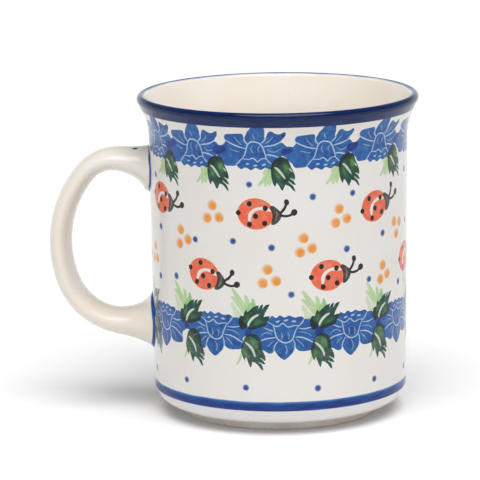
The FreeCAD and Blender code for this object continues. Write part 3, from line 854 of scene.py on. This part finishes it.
def looping_tree():
    """Sweeps the handle's oval section along tangent arcs, thickening it towards both joints."""
    sizes = {
        "Rows": ("NodeSocketInt", 220),
        "Columns": ("NodeSocketInt", 72),
        "Start radius": ("NodeSocketFloat", HANDLE_START[0] * MM),
        "Start height": ("NodeSocketFloat", HANDLE_START[1] * MM),
        "Rise": ("NodeSocketFloat", HANDLE_RISE),
        "Root": ("NodeSocketFloat", HANDLE_ROOT * MM),
        "Root radius": ("NodeSocketFloat", HANDLE_ROOT_RADIUS * MM),
        "Grip thickness": ("NodeSocketFloat", GRIP_THICKNESS * MM),
        "Grip width": ("NodeSocketFloat", GRIP_WIDTH * MM),
        "Joint spread": ("NodeSocketFloat", JOINT_SPREAD),
        "Wall radius": ("NodeSocketFloat", PATTERN_RADIUS * MM),
        "Glaze fillet": ("NodeSocketFloat", 0.5 * MM),
        "Fillet reach": ("NodeSocketFloat", 0.55 * MM),
        "Glaze": ("NodeSocketMaterial", None),
    }
    for name, gain, reach in HANDLE_FLARES:
        sizes[name + " gain"] = ("NodeSocketFloat", gain * MM)
        sizes[name + " reach"] = ("NodeSocketFloat", reach * MM)
    for number, (radius, turn) in enumerate(HANDLE_ARCS, start=1):
        sizes[f"Arc {number} radius"] = ("NodeSocketFloat", radius * MM)
        sizes[f"Arc {number} turn"] = ("NodeSocketFloat", math.radians(turn))
    tree, given = geometry_tree("looped handle", sizes)

    def step(operation, *values):
        return reckon(tree, operation, *values)

    grid, row, column = grid_places(tree, given["Rows"], given["Columns"])
    length = 0.0
    for number in range(1, len(HANDLE_ARCS) + 1):
        arc = step("MULTIPLY", given[f"Arc {number} radius"], given[f"Arc {number} turn"])
        length = step("ADD", length, arc)
    whole = step("ADD", length, step("MULTIPLY", given["Root"], 2))
    share = step("DIVIDE", row, step("SUBTRACT", given["Rows"], 1))
    crowding = step("MULTIPLY", step("SINE", step("MULTIPLY", share, 2 * math.pi)), 0.8 / (2 * math.pi))
    travelled = step("MULTIPLY", step("SUBTRACT", share, crowding), whole)
    travelled = step("SUBTRACT", travelled, given["Root"])

    heading, passed = given["Rise"], 0.0
    before = step("MINIMUM", travelled, 0)
    out = step("ADD", given["Start radius"], step("MULTIPLY", before, step("COSINE", heading)))
    up = step("ADD", given["Start height"], step("MULTIPLY", before, step("SINE", heading)))
    slope = heading
    for number in range(1, len(HANDLE_ARCS) + 1):
        radius, turn = given[f"Arc {number} radius"], given[f"Arc {number} turn"]
        turned = step("DIVIDE", step("SUBTRACT", travelled, passed), radius)
        turned = step("MAXIMUM", step("MINIMUM", turned, turn), 0)
        ahead = step("SUBTRACT", heading, turned)
        run = step("SUBTRACT", step("SINE", heading), step("SINE", ahead))
        climb = step("SUBTRACT", step("COSINE", ahead), step("COSINE", heading))
        out = step("ADD", out, step("MULTIPLY", radius, run))
        up = step("ADD", up, step("MULTIPLY", radius, climb))
        slope = step("SUBTRACT", slope, turned)
        heading = step("SUBTRACT", heading, turn)
        passed = step("ADD", passed, step("MULTIPLY", radius, turn))
    after = step("MAXIMUM", step("SUBTRACT", travelled, length), 0)
    out = step("ADD", out, step("MULTIPLY", after, step("COSINE", heading)))
    up = step("ADD", up, step("MULTIPLY", after, step("SINE", heading)))

    away = {"Upper": travelled, "Lower": step("SUBTRACT", length, travelled)}
    gains = {}
    for side in ("outer", "inner"):
        gained = 0.0
        for joint, distance in away.items():
            faded = step("DIVIDE", step("MAXIMUM", distance, 0), given[f"{joint} {side} reach"])
            faded = step("EXPONENT", step("MULTIPLY", faded, -1))
            gained = step("ADD", gained, step("MULTIPLY", given[f"{joint} {side} gain"], faded))
        gains[side] = gained
    gained = step("ADD", gains["outer"], gains["inner"])
    sideways = step("MULTIPLY", step("SUBTRACT", gains["outer"], gains["inner"]), 0.5)
    thickness = step("ADD", given["Grip thickness"], gained)
    width = step("ADD", given["Grip width"], step("MULTIPLY", gained, given["Joint spread"]))
    round_it = step("MULTIPLY", step("DIVIDE", column, given["Columns"]), 2 * math.pi)
    outer, side = step("COSINE", round_it), step("SINE", round_it)

    def place(extra):
        half_thick = step("MULTIPLY", step("ADD", step("MULTIPLY", thickness, 0.5), extra), outer)
        half_wide = step("MULTIPLY", step("ADD", step("MULTIPLY", width, 0.5), extra), side)
        half_thick = step("ADD", half_thick, sideways)
        away = step("SUBTRACT", out, step("MULTIPLY", half_thick, step("SINE", slope)))
        above = step("ADD", up, step("MULTIPLY", half_thick, step("COSINE", slope)))
        away = step("MULTIPLY", away, -1)
        spot = add(tree, "ShaderNodeCombineXYZ", {0: away, 1: half_wide, 2: above}).outputs[0]
        level = reckon(tree, "MULTIPLY", spot, (1.0, 1.0, 0.0), kind="ShaderNodeVectorMath")
        spoke = add(tree, "ShaderNodeVectorMath", {0: level}, operation="LENGTH").outputs["Value"]
        push = step("MAXIMUM", step("DIVIDE", given["Root radius"], spoke), 1.0)
        pushed = add(tree, "ShaderNodeCombineXYZ", {0: push, 1: push, 2: 1.0}).outputs[0]
        return reckon(tree, "MULTIPLY", spot, pushed, kind="ShaderNodeVectorMath")

    plain = place(0.0)
    flat = reckon(tree, "MULTIPLY", plain, (1.0, 1.0, 0.0), kind="ShaderNodeVectorMath")
    from_axis = add(tree, "ShaderNodeVectorMath", {0: flat}, operation="LENGTH").outputs["Value"]
    clear = step("MAXIMUM", step("SUBTRACT", from_axis, given["Wall radius"]), 0)
    fading = step("EXPONENT", step("MULTIPLY", step("DIVIDE", clear, given["Fillet reach"]), -1))
    kept = keep_field(tree, grid, "along", step("MULTIPLY", travelled, 1 / MM))
    kept = keep_field(tree, kept, "outer", outer)
    kept = keep_field(tree, kept, "clear", step("MULTIPLY", clear, 1 / MM))
    looped = add(tree, "GeometryNodeSetPosition", {
        "Geometry": kept, "Position": place(step("MULTIPLY", given["Glaze fillet"], fading))})
    close_tree(tree, looped.outputs[0], given["Glaze"])
    return tree


def finished(name, mesh, tree, inputs):
    """Runs a geometry tree on a mesh and returns the result as a plain object."""
    source = bpy.data.objects.new(name + "_source", mesh)
    bpy.context.scene.collection.objects.link(source)
    modifier = source.modifiers.new("shape", "NODES")
    modifier.node_group = tree
    sockets = {item.name: item.identifier for item in tree.interface.items_tree if item.in_out == "INPUT"}
    for label, value in inputs.items():
        modifier[sockets[label]] = value
    depsgraph = bpy.context.evaluated_depsgraph_get()
    result = bpy.data.meshes.new_from_object(source.evaluated_get(depsgraph), depsgraph=depsgraph)
    result.name = name
    piece = bpy.data.objects.new(name, result)
    bpy.context.scene.collection.objects.link(piece)
    bpy.data.objects.remove(source)
    bpy.data.meshes.remove(mesh)
    return piece


def line_mesh(name, points):
    """An outline as a line of edges, with the distance along it in millimetres."""
    mesh = bpy.data.meshes.new(name + "_outline")
    places = [(x * MM, 0.0, z * MM) for x, z in points]
    mesh.from_pydata(places, [(i, i + 1) for i in range(len(places) - 1)], [])
    steps = np.linalg.norm(np.diff(points, axis=0), axis=1)
    along = mesh.attributes.new("along", "FLOAT", "POINT")
    along.data.foreach_set("value", np.concatenate([[0.0], np.cumsum(steps)]).astype(np.float32))
    return mesh


# ---------------------------------------------------------------- finishes


def colour(hex_colour):
    """An sRGB hex colour as the shader takes it."""
    return (*linear(hex_colour), 1.0)


def new_finish(name, roughness, ior, specular=0.5):
    """A material with one shader; its whole-surface values sit on the shader's own sockets."""
    finish = bpy.data.materials.new(name)
    finish.use_nodes = True
    tree = finish.node_tree
    shader = tree.nodes["Principled BSDF"]
    shader.inputs["Roughness"].default_value = roughness
    shader.inputs["IOR"].default_value = ior
    shader.inputs["Specular IOR Level"].default_value = specular
    return finish, tree, shader


def noise(tree, size, detail=2.0, roughness=0.5, stretch=(1.0, 1.0, 1.0)):
    """Noise on the object's own coordinates, whose blobs are about size millimetres across."""
    place = add(tree, "ShaderNodeTexCoord").outputs["Object"]
    spread = tuple(1.0 / (size * MM) * s for s in stretch)
    scaled = add(tree, "ShaderNodeMapping", {"Vector": place, "Scale": spread}).outputs[0]
    return add(tree, "ShaderNodeTexNoise", {
        "Vector": scaled, "Scale": 1.0, "Detail": detail, "Roughness": roughness}).outputs["Fac"]


def swing(tree, value, low, high, start=0.3, end=0.7):
    """A value stretched from start..end to low..high and held there."""
    return add(tree, "ShaderNodeMapRange", {
        "Value": value, "From Min": start, "From Max": end, "To Min": low, "To Max": high}).outputs[0]


def blend(tree, share, first, second, mode="MIX"):
    """Two colours mixed by a share."""
    mixed = add(tree, "ShaderNodeMix", data_type="RGBA", blend_type=mode)
    for socket, value in (("Factor_Float", share), ("A_Color", first), ("B_Color", second)):
        target = next(s for s in mixed.inputs if s.identifier == socket)
        if isinstance(value, bpy.types.NodeSocket):
            tree.links.new(value, target)
        else:
            target.default_value = value
    return next(s for s in mixed.outputs if s.identifier == "Result_Color")


def fired_glaze(tree, shader, cool, warm, ripple=0.012):
    """White-burning clay under clear glaze: a faint warm and cool drift, and a few fine specks.

    The drift follows how thick the glaze ran, some 15 mm across. The ripple is the slight orange peel of a
    dipped gloss glaze, 5 mm from crest to crest.
    """
    drift = swing(tree, noise(tree, 15.0), 0.0, 1.0)
    ground = blend(tree, drift, colour(cool), colour(warm))
    specks = swing(tree, noise(tree, 0.9, 0.0), 0.0, 0.2, 0.83, 0.9)
    ground = blend(tree, specks, ground, colour("#8E7F6E"))
    wave = noise(tree, 5.0, 1.0, 0.4)
    bump = add(tree, "ShaderNodeBump", {"Height": wave, "Strength": 1.0, "Distance": ripple * MM})
    tree.links.new(bump.outputs[0], shader.inputs["Normal"])
    return ground


def stamped_glaze():
    """Glossy clear glaze over sponge-stamped pigment on white stoneware.

    A sponge lays its pigment unevenly, so each colour is deeper and paler in patches of 1 to 3 mm with a
    fine 0.35 mm grain, and the glaze over it is smooth and shiny.
    """
    finish, tree, shader = new_finish("glazed stoneware, sponge stamped", 0.12, 1.46, 0.42)
    ground = fired_glaze(tree, shader, "#DAD8D5", "#DAD5CF")
    pigment = add(tree, "ShaderNodeAttribute", attribute_name="pigment").outputs["Color"]
    patches = swing(tree, noise(tree, 1.7, 2.0, 0.6), 0.82, 1.24)
    grain = swing(tree, noise(tree, 0.42, 1.0), 0.92, 1.08)
    depth = reckon(tree, "MULTIPLY", patches, grain)
    layer = reckon(tree, "POWER", pigment, depth, kind="ShaderNodeVectorMath")
    tree.links.new(blend(tree, 1.0, ground, layer, "MULTIPLY"), shader.inputs["Base Color"])
    return finish


def ramp(tree, share, stops):
    """A colour ramp with stops of (place, hex colour)."""
    made = add(tree, "ShaderNodeValToRGB", {"Fac": share})
    elements = made.color_ramp.elements
    while len(elements) < len(stops):
        elements.new(0.5)
    for element, (place, hex_colour) in zip(elements, stops):
        element.position = place
        element.color = colour(hex_colour)
    return made.outputs["Color"]


def banded_glaze(name, length, stops, streak, wobble):
    """Glossy glaze over a band of cobalt brushed on while the mug turned on the wheel.

    The brush leaves streaks that run round the mug, a few millimetres high and long drawn out, and its edge
    wanders by the wobble, in millimetres.
    """
    finish, tree, shader = new_finish(name, 0.1, 1.46, 0.3)
    along = add(tree, "ShaderNodeAttribute", attribute_name="along").outputs["Fac"]
    wander = swing(tree, noise(tree, 9.0, 1.0), -wobble, wobble)
    share = reckon(tree, "DIVIDE", reckon(tree, "ADD", along, wander), length)
    band = ramp(tree, share, stops)
    streaks = swing(tree, noise(tree, 6.0, 3.0, 0.6, (1.0, 1.0, 9.0)), 1.0 - streak, 1.0 + streak)
    layer = reckon(tree, "POWER", band, streaks, kind="ShaderNodeVectorMath")
    tree.links.new(layer, shader.inputs["Base Color"])
    return finish


def plain_glaze(name, cool, warm, roughness=0.1):
    """Glossy glaze with nothing painted under it."""
    finish, tree, shader = new_finish(name, roughness, 1.46, 0.45)
    ground = fired_glaze(tree, shader, cool, warm)
    tree.links.new(ground, shader.inputs["Base Color"])
    return finish


def handle_finish(first, gap, radius, lean):
    """Glossy glaze on the handle: cobalt dots down its spine, and a brushed cobalt line at each joint.

    The dots are first millimetres from the upper joint, gap apart, and lean millimetres to one side.
    """
    finish, tree, shader = new_finish("glazed stoneware, dotted handle", 0.16, 1.47, 0.45)
    ground = fired_glaze(tree, shader, "#DFDAD3", "#E3D9CA")
    along = add(tree, "ShaderNodeAttribute", attribute_name="along").outputs["Fac"]
    outer = add(tree, "ShaderNodeAttribute", attribute_name="outer").outputs["Fac"]
    place = add(tree, "ShaderNodeTexCoord").outputs["Object"]
    side = add(tree, "ShaderNodeSeparateXYZ", {0: place}).outputs[1]

    def step(operation, *values):
        return reckon(tree, operation, *values)

    beat = step("ADD", along, gap / 2 - first)
    beat = step("SUBTRACT", step("FLOORED_MODULO", beat, gap), gap / 2)
    aside = step("ADD", step("DIVIDE", side, MM), lean)
    away = step("SQRT", step("ADD", step("POWER", beat, 2.0), step("POWER", aside, 2.0)))
    dot = swing(tree, away, 1.0, 0.0, radius - 0.25, radius + 0.25)
    dot = step("MULTIPLY", dot, step("GREATER_THAN", outer, 0.0))
    painted = blend(tree, dot, ground, colour("#0E2C70"))
    clear = add(tree, "ShaderNodeAttribute", attribute_name="clear").outputs["Fac"]
    wander = swing(tree, noise(tree, 7.0, 1.0), -0.15, 0.15)
    line = swing(tree, step("ADD", clear, wander), 1.0, 0.0, 0.45, 0.75)
    painted = blend(tree, line, painted, colour("#1C4688"))
    tree.links.new(painted, shader.inputs["Base Color"])
    return finish


def bare_clay(name, light, dark):
    """Bare fired stoneware, sponged smooth: matt and grainy, with grog specks under a millimetre."""
    finish, tree, shader = new_finish(name, 0.75, 1.5)
    mottle = blend(tree, swing(tree, noise(tree, 4.0), 0.0, 1.0), colour(light), colour(dark))
    specks = swing(tree, noise(tree, 0.6, 0.0), 0.0, 0.5, 0.72, 0.82)
    tree.links.new(blend(tree, specks, mottle, colour("#6E655C")), shader.inputs["Base Color"])
    grit = noise(tree, 0.5, 2.0)
    bump = add(tree, "ShaderNodeBump", {"Height": grit, "Strength": 1.0, "Distance": 0.03 * MM})
    tree.links.new(bump.outputs[0], shader.inputs["Normal"])
    return finish


# ---------------------------------------------------------------- the pattern on this mug


def round_the_wall(seen, count):
    """Places round the wall: those that are given, and the rest evenly spaced between the last and first."""
    gap = (ROUND_THE_WALL + seen[0] - seen[-1]) / (count - len(seen) + 1)
    return list(seen) + [seen[-1] + gap * (i + 1) for i in range(count - len(seen))]


def onto_sheet(x):
    """The same place round the wall, between the two edges of the flat sheet."""
    return (x + ROUND_THE_WALL / 2) % ROUND_THE_WALL - ROUND_THE_WALL / 2


def wall_pattern(joint_lines):
    """The decorator's work on the wall: two garlands, ladybirds between them, and dots."""
    pattern = Pattern(ROUND_THE_WALL)
    hand = random.Random(21)

    def by_hand(stamp, x, z, lean=0.0, sway=1.2, slip=0.25):
        pattern.stamp(
            stamp, onto_sheet(x) + hand.uniform(-slip, slip), z + hand.uniform(-slip, slip),
            lean + hand.uniform(-sway, sway), 1.0 + hand.uniform(-0.012, 0.012))

    for x in round_the_wall([-46.6, -27.4, -6.7, 14.5, 35.3], 12):
        by_hand(drooping_wisps(), x, 83)
        by_hand(upright_flower(), x, 90, 0, 0.7)
        by_hand(drooping_leaf(), x, 83)
    for x in round_the_wall([-43.5, -20.7, 1.6, 23.8, 46.5], 11):
        by_hand(hanging_flower(), x, 32, 0, 0.7)
    for x in round_the_wall([-30.0, -7.6, 14.5, 37.2, 59.5], 11):
        by_hand(rising_wisps(), x, 38)
        by_hand(rising_leaf(), x, 38)
    for x in round_the_wall([-50.0, -28.0, -7.6, 14.4, 36.6], 11):
        by_hand(lower_wisps(), x, 27)
        by_hand(lower_leaf(), x, 27)

    upper_beetles = [(-45.3, 72.0, -6.0), (-7.2, 70.5, 0.0), (33.0, 70.3, 12.0)]
    lower_beetles = [(-25.0, 50.6, -14.0), (15.2, 50.6, 5.0), (53.5, 51.0, 4.0)]
    upper_hidden = round_the_wall([x for x, z, lean in upper_beetles], 6)[3:]
    lower_hidden = round_the_wall([x for x, z, lean in lower_beetles], 6)[3:]
    upper_beetles += [(x, 70.8, hand.uniform(-8, 10)) for x in upper_hidden]
    lower_beetles += [(x, 50.8, hand.uniform(-12, 8)) for x in lower_hidden]
    for x, z, lean in upper_beetles + lower_beetles:
        pattern.stamp(ladybird_shell(), onto_sheet(x), z, lean)
        pattern.stamp(ladybird_head(), onto_sheet(x), z, lean)

    threes = [
        (-21.3, 72.5), (-23.2, 68.4), (-19.0, 68.9),
        (-34.3, 63.5), (-31.1, 60.7), (-34.9, 59.0),
        (7.5, 62.8), (10.1, 59.5), (6.4, 58.4),
        (19.1, 71.2), (21.8, 67.9), (17.9, 66.9),
        (-3.7, 53.2), (-1.1, 49.6), (-5.2, 48.9),
        (43.8, 63.8), (47.8, 63.1), (45.4, 59.7),
        (37.0, 51.1), (35.8, 46.8), (39.4, 48.0),
        (-51.8, 55.5), (-50.0, 51.8), (-53.6, 51.4),
    ]
    singles = [
        (-49.5, 78.5), (-46.0, 62.6), (-47.2, 46.6), (-36.9, 48.3), (-27.9, 61.1), (-14.4, 61.7),
        (-9.0, 79.6), (-2.3, 60.0), (3.6, 45.2), (10.5, 75.5), (21.8, 58.3), (24.0, 75.6),
        (30.5, 47.6), (37.0, 61.2), (47.2, 44.0), (53.0, 79.0), (54.5, 62.5),
    ]
    for x in upper_hidden:
        for middle, z in ((15.2, 60.4), (26.8, 68.8), (3.9, 50.6)):
            turn = hand.uniform(0, 2 * math.pi)
            for corner in range(3):
                a = turn + corner * 2 * math.pi / 3
                threes.append((x + middle + 2.3 * math.cos(a), z + 2.3 * math.sin(a)))
        for away, z in ((4.9, 60.0), (17.7, 75.5), (10.8, 45.2), (29.0, 58.3), (31.2, 75.6), (-1.8, 79.4)):
            singles.append((x + away + hand.uniform(-1, 1), z + hand.uniform(-0.8, 0.8)))
    for x, z in threes:
        pattern.dot(onto_sheet(x), z, 1.38, "orange", 0.9, (0.3, -0.3))
    for x in round_the_wall([-32.9, -10.9, 11.8, 33.0], 12):
        singles.append((x, 15.5 + hand.uniform(-0.6, 0.6)))
    for x, z in singles:
        pattern.dot(onto_sheet(x), z, hand.uniform(0.84, 1.0), "dot blue", 0.55)
    for line in joint_lines:
        pattern.stamp([fill(line, "line blue")])
    return pattern


# ---------------------------------------------------------------- pieces of glaze


def body_piece(piece, slot, *nodes):
    """Parents a finished piece to the root body and hides the CAD nodes that it stands for."""
    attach(piece, "root")
    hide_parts(*nodes)
    return piece


TURNING = turning_tree()
WRAPPING = wrapping_tree()
LOOPING = looping_tree()


def turned_piece(name, points, glaze, slot, node):
    """A coat turned from its outline."""
    piece = finished(name, line_mesh(name, points), TURNING, {"Columns": 192, "Glaze": glaze})
    return body_piece(piece, slot, node)


def joint_lines(handle, spread):
    """Where the handle's skin comes through the wall, opened out by spread millimetres: upper, lower."""
    places = np.array([vertex.co[:] for vertex in handle.data.vertices]) / MM
    along = np.array([value.value for value in handle.data.attributes["along"].data])
    reach = np.hypot(places[:, 0], places[:, 1]) - wall_radius(places[:, 2])
    middle = (along.min() + along.max()) / 2
    loops = []
    for end in (along < middle, along > middle):
        near = places[end & (abs(reach) < 0.35)]
        angle = np.arctan2(near[:, 1], near[:, 0]) % (2 * math.pi)
        x = (angle - FACE_ANGLE - 2 * math.pi) * PATTERN_RADIUS
        z = near[:, 2]
        centre = np.array([(x.max() + x.min()) / 2, (z.max() + z.min()) / 2])
        bearing = np.arctan2(z - centre[1], x - centre[0])
        radius = np.hypot(z - centre[1], x - centre[0])
        order = np.argsort(bearing)
        loop = []
        for a in np.linspace(-math.pi, math.pi, 96, endpoint=False):
            r = np.interp(a, bearing[order], radius[order], period=2 * math.pi) + spread
            loop.append(centre + np.array([math.cos(a), math.sin(a)]) * r)
        loops.append(np.array(loop))
    return loops


def wall_piece(pattern, glaze):
    """The painted wall between the base line and the rim, wrapped from its flat sheet."""
    low, high = BAND_HIGH.z, RIM_LOW.z
    points, triangles, pigment = painted_sheet(pattern, low, high, 192, 2.0, 0.9)
    mesh = bpy.data.meshes.new("wall_sheet")
    mesh.vertices.add(len(points))
    flat = np.column_stack([points[:, 0], np.zeros(len(points)), points[:, 1]]) * MM
    mesh.vertices.foreach_set("co", flat.ravel())
    mesh.loops.add(triangles.size)
    mesh.loops.foreach_set("vertex_index", triangles.ravel().astype(np.int32))
    mesh.polygons.add(len(triangles))
    mesh.polygons.foreach_set("loop_start", np.arange(0, triangles.size, 3, dtype=np.int32))
    mesh.update(calc_edges=True)
    painted = mesh.attributes.new("pigment", "FLOAT_COLOR", "CORNER")
    rgba = np.concatenate([pigment.reshape(-1, 3), np.ones((triangles.size, 1))], axis=1)
    painted.data.foreach_set("color", rgba.astype(np.float32).ravel())
    out = mesh.attributes.new("out", "FLOAT", "POINT")
    out.data.foreach_set("value", (wall_radius(points[:, 1]) * MM).astype(np.float32))
    piece = finished("painted_wall", mesh, WRAPPING, {"Glaze": glaze})
    places = np.array([vertex.co[:] for vertex in piece.data.vertices]) / MM
    radius = np.hypot(places[:, 0], places[:, 1])
    lean = (wall_radius(places[:, 2] + 0.2) - wall_radius(places[:, 2] - 0.2)) / 0.4
    normals = np.column_stack([places[:, :2] / radius[:, None], -lean])
    normals /= np.linalg.norm(normals, axis=1)[:, None]
    piece.data.normals_split_custom_set_from_vertices(normals.tolist())
    return body_piece(piece, "wall_glaze", "wall_glaze")


stamped = stamped_glaze()
rim_points = np.vstack([
    stretch_of(OUTSIDE, height, RIM_LOW.z, MUG_HEIGHT),
    stretch_of(INSIDE, inwards, -INSIDE[0][0], -RIM_INNER_RADIUS)[1:],
])
RIM_LENGTH = float(np.linalg.norm(np.diff(rim_points, axis=0), axis=1).sum())
# The first stops, low on the outside of the rim, are lighter and greyer than the dark crest: a painted
# reflection of the white table on the underside, laid over the cobalt. The last stops are the cobalt thinning
# into the cream inside.
cobalt_rim_and_painted_reflection = banded_glaze(
    "glazed stoneware, cobalt rim and painted reflection", RIM_LENGTH,
    [(0.0, "#162A5A"), (0.35, "#14264F"), (0.55, "#031A45"), (0.8, "#04225A"), (0.88, "#1F4F96"),
     (0.95, "#A9B6C4"), (1.0, "#EADFCB")],
    0.12, 0.12)
cobalt_line = banded_glaze(
    "glazed stoneware, cobalt line", BAND_HIGH.z - BAND_LOW.z,
    [(0.0, "#3A589C"), (0.1, "#183679"), (0.45, "#0F2F73"), (0.75, "#154181"), (0.92, "#376BAE"),
     (1.0, "#9DB6D2")],
    0.16, 0.1)
cream = plain_glaze("glazed stoneware, cream inside", "#F3EEE6", "#F2E9DC")
white = plain_glaze("glazed stoneware, white heel", "#D6D4D4", "#D7D3D0")

turned_piece("cobalt_rim_and_painted_reflection", rim_points, cobalt_rim_and_painted_reflection, "cobalt_glaze", "rim_glaze")
turned_piece(
    "cream_inside", stretch_of(INSIDE, inwards, -RIM_INNER_RADIUS, 0), cream, "cream_glaze", "inside_glaze")
turned_piece(
    "cobalt_base_line", stretch_of(OUTSIDE, height, BAND_LOW.z, BAND_HIGH.z), cobalt_line, "cobalt_glaze",
    "base_band_glaze")
turned_piece(
    "white_heel", stretch_of(OUTSIDE, outwards, FOOT_RADIUS, wall_radius(BAND_LOW.z)), white, "wall_glaze",
    "heel_glaze")
underside_corner = (FOOT_INSIDE - RECESS_ROUND, RECESS - RECESS_ROUND, RECESS_ROUND, -1)
turned_piece(
    "glazed_underside",
    turned_outline([(0, RECESS, 0, 1), underside_corner, (FOOT_INSIDE, FOOT_BEVEL, 0, 1)]),
    cream, "cream_glaze", "underside_glaze")

handle = finished("loop_handle", bpy.data.meshes.new("loop_seed"), LOOPING, {
    "Glaze": handle_finish(6.0, 38.0, 0.85, 2.5)})
body_piece(handle, "wall_glaze", "handle_glaze")
painted_wall = wall_piece(wall_pattern(joint_lines(handle, 0.5)), stamped)

clay = bare_clay("bare stoneware, fired", "#DED7D0", "#D0C8C0")
slip = bare_clay("joining slip, fired", "#A59D92", "#978F85")
bare = {"cup_body": clay, "handle": clay, "upper_slip_joint": slip, "lower_slip_joint": slip}
for node, finish in bare.items():
    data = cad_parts[node].data
    if data.materials:
        data.materials[0] = finish
    else:
        data.materials.append(finish)


# ---------------------------------------------------------------- camera, table and light

scene = bpy.context.scene
camera = bpy.data.objects.new("camera", bpy.data.cameras.new("camera"))
scene.collection.objects.link(camera)
camera.data.sensor_width = 36.0
camera.data.lens = 250.5
camera.data.clip_end = 20.0
heading, dip, roll = math.radians(95.682), math.radians(11.178), 0.0127
forward = Vector((math.cos(dip) * math.cos(heading), math.cos(dip) * math.sin(heading), -math.sin(dip)))
right = Vector((math.sin(heading), -math.cos(heading), 0.0))
up = right.cross(forward)
level_right, level_up = right.copy(), up.copy()
right = level_right * math.cos(roll) - level_up * math.sin(roll)
up = level_right * math.sin(roll) + level_up * math.cos(roll)
camera.matrix_world = Matrix((
    (right.x, up.x, -forward.x, 0.09084),
    (right.y, up.y, -forward.y, -1.03833),
    (right.z, up.z, -forward.z, 0.2605),
    (0, 0, 0, 1),
))
scene.camera = camera

paper, tree, shader = new_finish("white paper sweep", 0.9, 1.45)
fibre = swing(tree, noise(tree, 30.0), 0.0, 1.0)
tree.links.new(blend(tree, fibre, colour("#F8F8F8"), colour("#FAFAFA")), shader.inputs["Base Color"])
floor_mesh = bpy.data.meshes.new("table")
table_corners = [(-3.0, -3.0, 0), (3.0, -3.0, 0), (3.0, 3.0, 0), (-3.0, 3.0, 0)]
floor_mesh.from_pydata(table_corners, [], [(0, 1, 2, 3)])
floor_mesh.materials.append(paper)
floor = bpy.data.objects.new("table", floor_mesh)
scene.collection.objects.link(floor)

# A broad soft key from high in front, and a room that is white low down and grey overhead.
key = bpy.data.lights.new("key", "SUN")
key.energy = 2.78
key.angle = math.radians(54)
key_light = bpy.data.objects.new("key", key)
key_light.rotation_euler = Vector((0.1, -0.4, 1.0)).to_track_quat("Z", "Y").to_euler()
scene.collection.objects.link(key_light)

world = bpy.data.worlds.new("studio")
world.use_nodes = True
scene.world = world
sky = world.node_tree
look = add(sky, "ShaderNodeSeparateXYZ", {0: add(sky, "ShaderNodeTexCoord").outputs["Generated"]}).outputs[2]
room = ramp(
    sky, swing(sky, look, 0.0, 1.0, -0.1, 1.0),
    [(0.0, "#FFFFFF"), (0.2, "#FFFFFF"), (0.42, "#909090")])
backdrop = sky.nodes["Background"]
sky.links.new(room, backdrop.inputs["Color"])
backdrop.inputs["Strength"].default_value = 1.0
scene.view_settings.view_transform = "Standard"
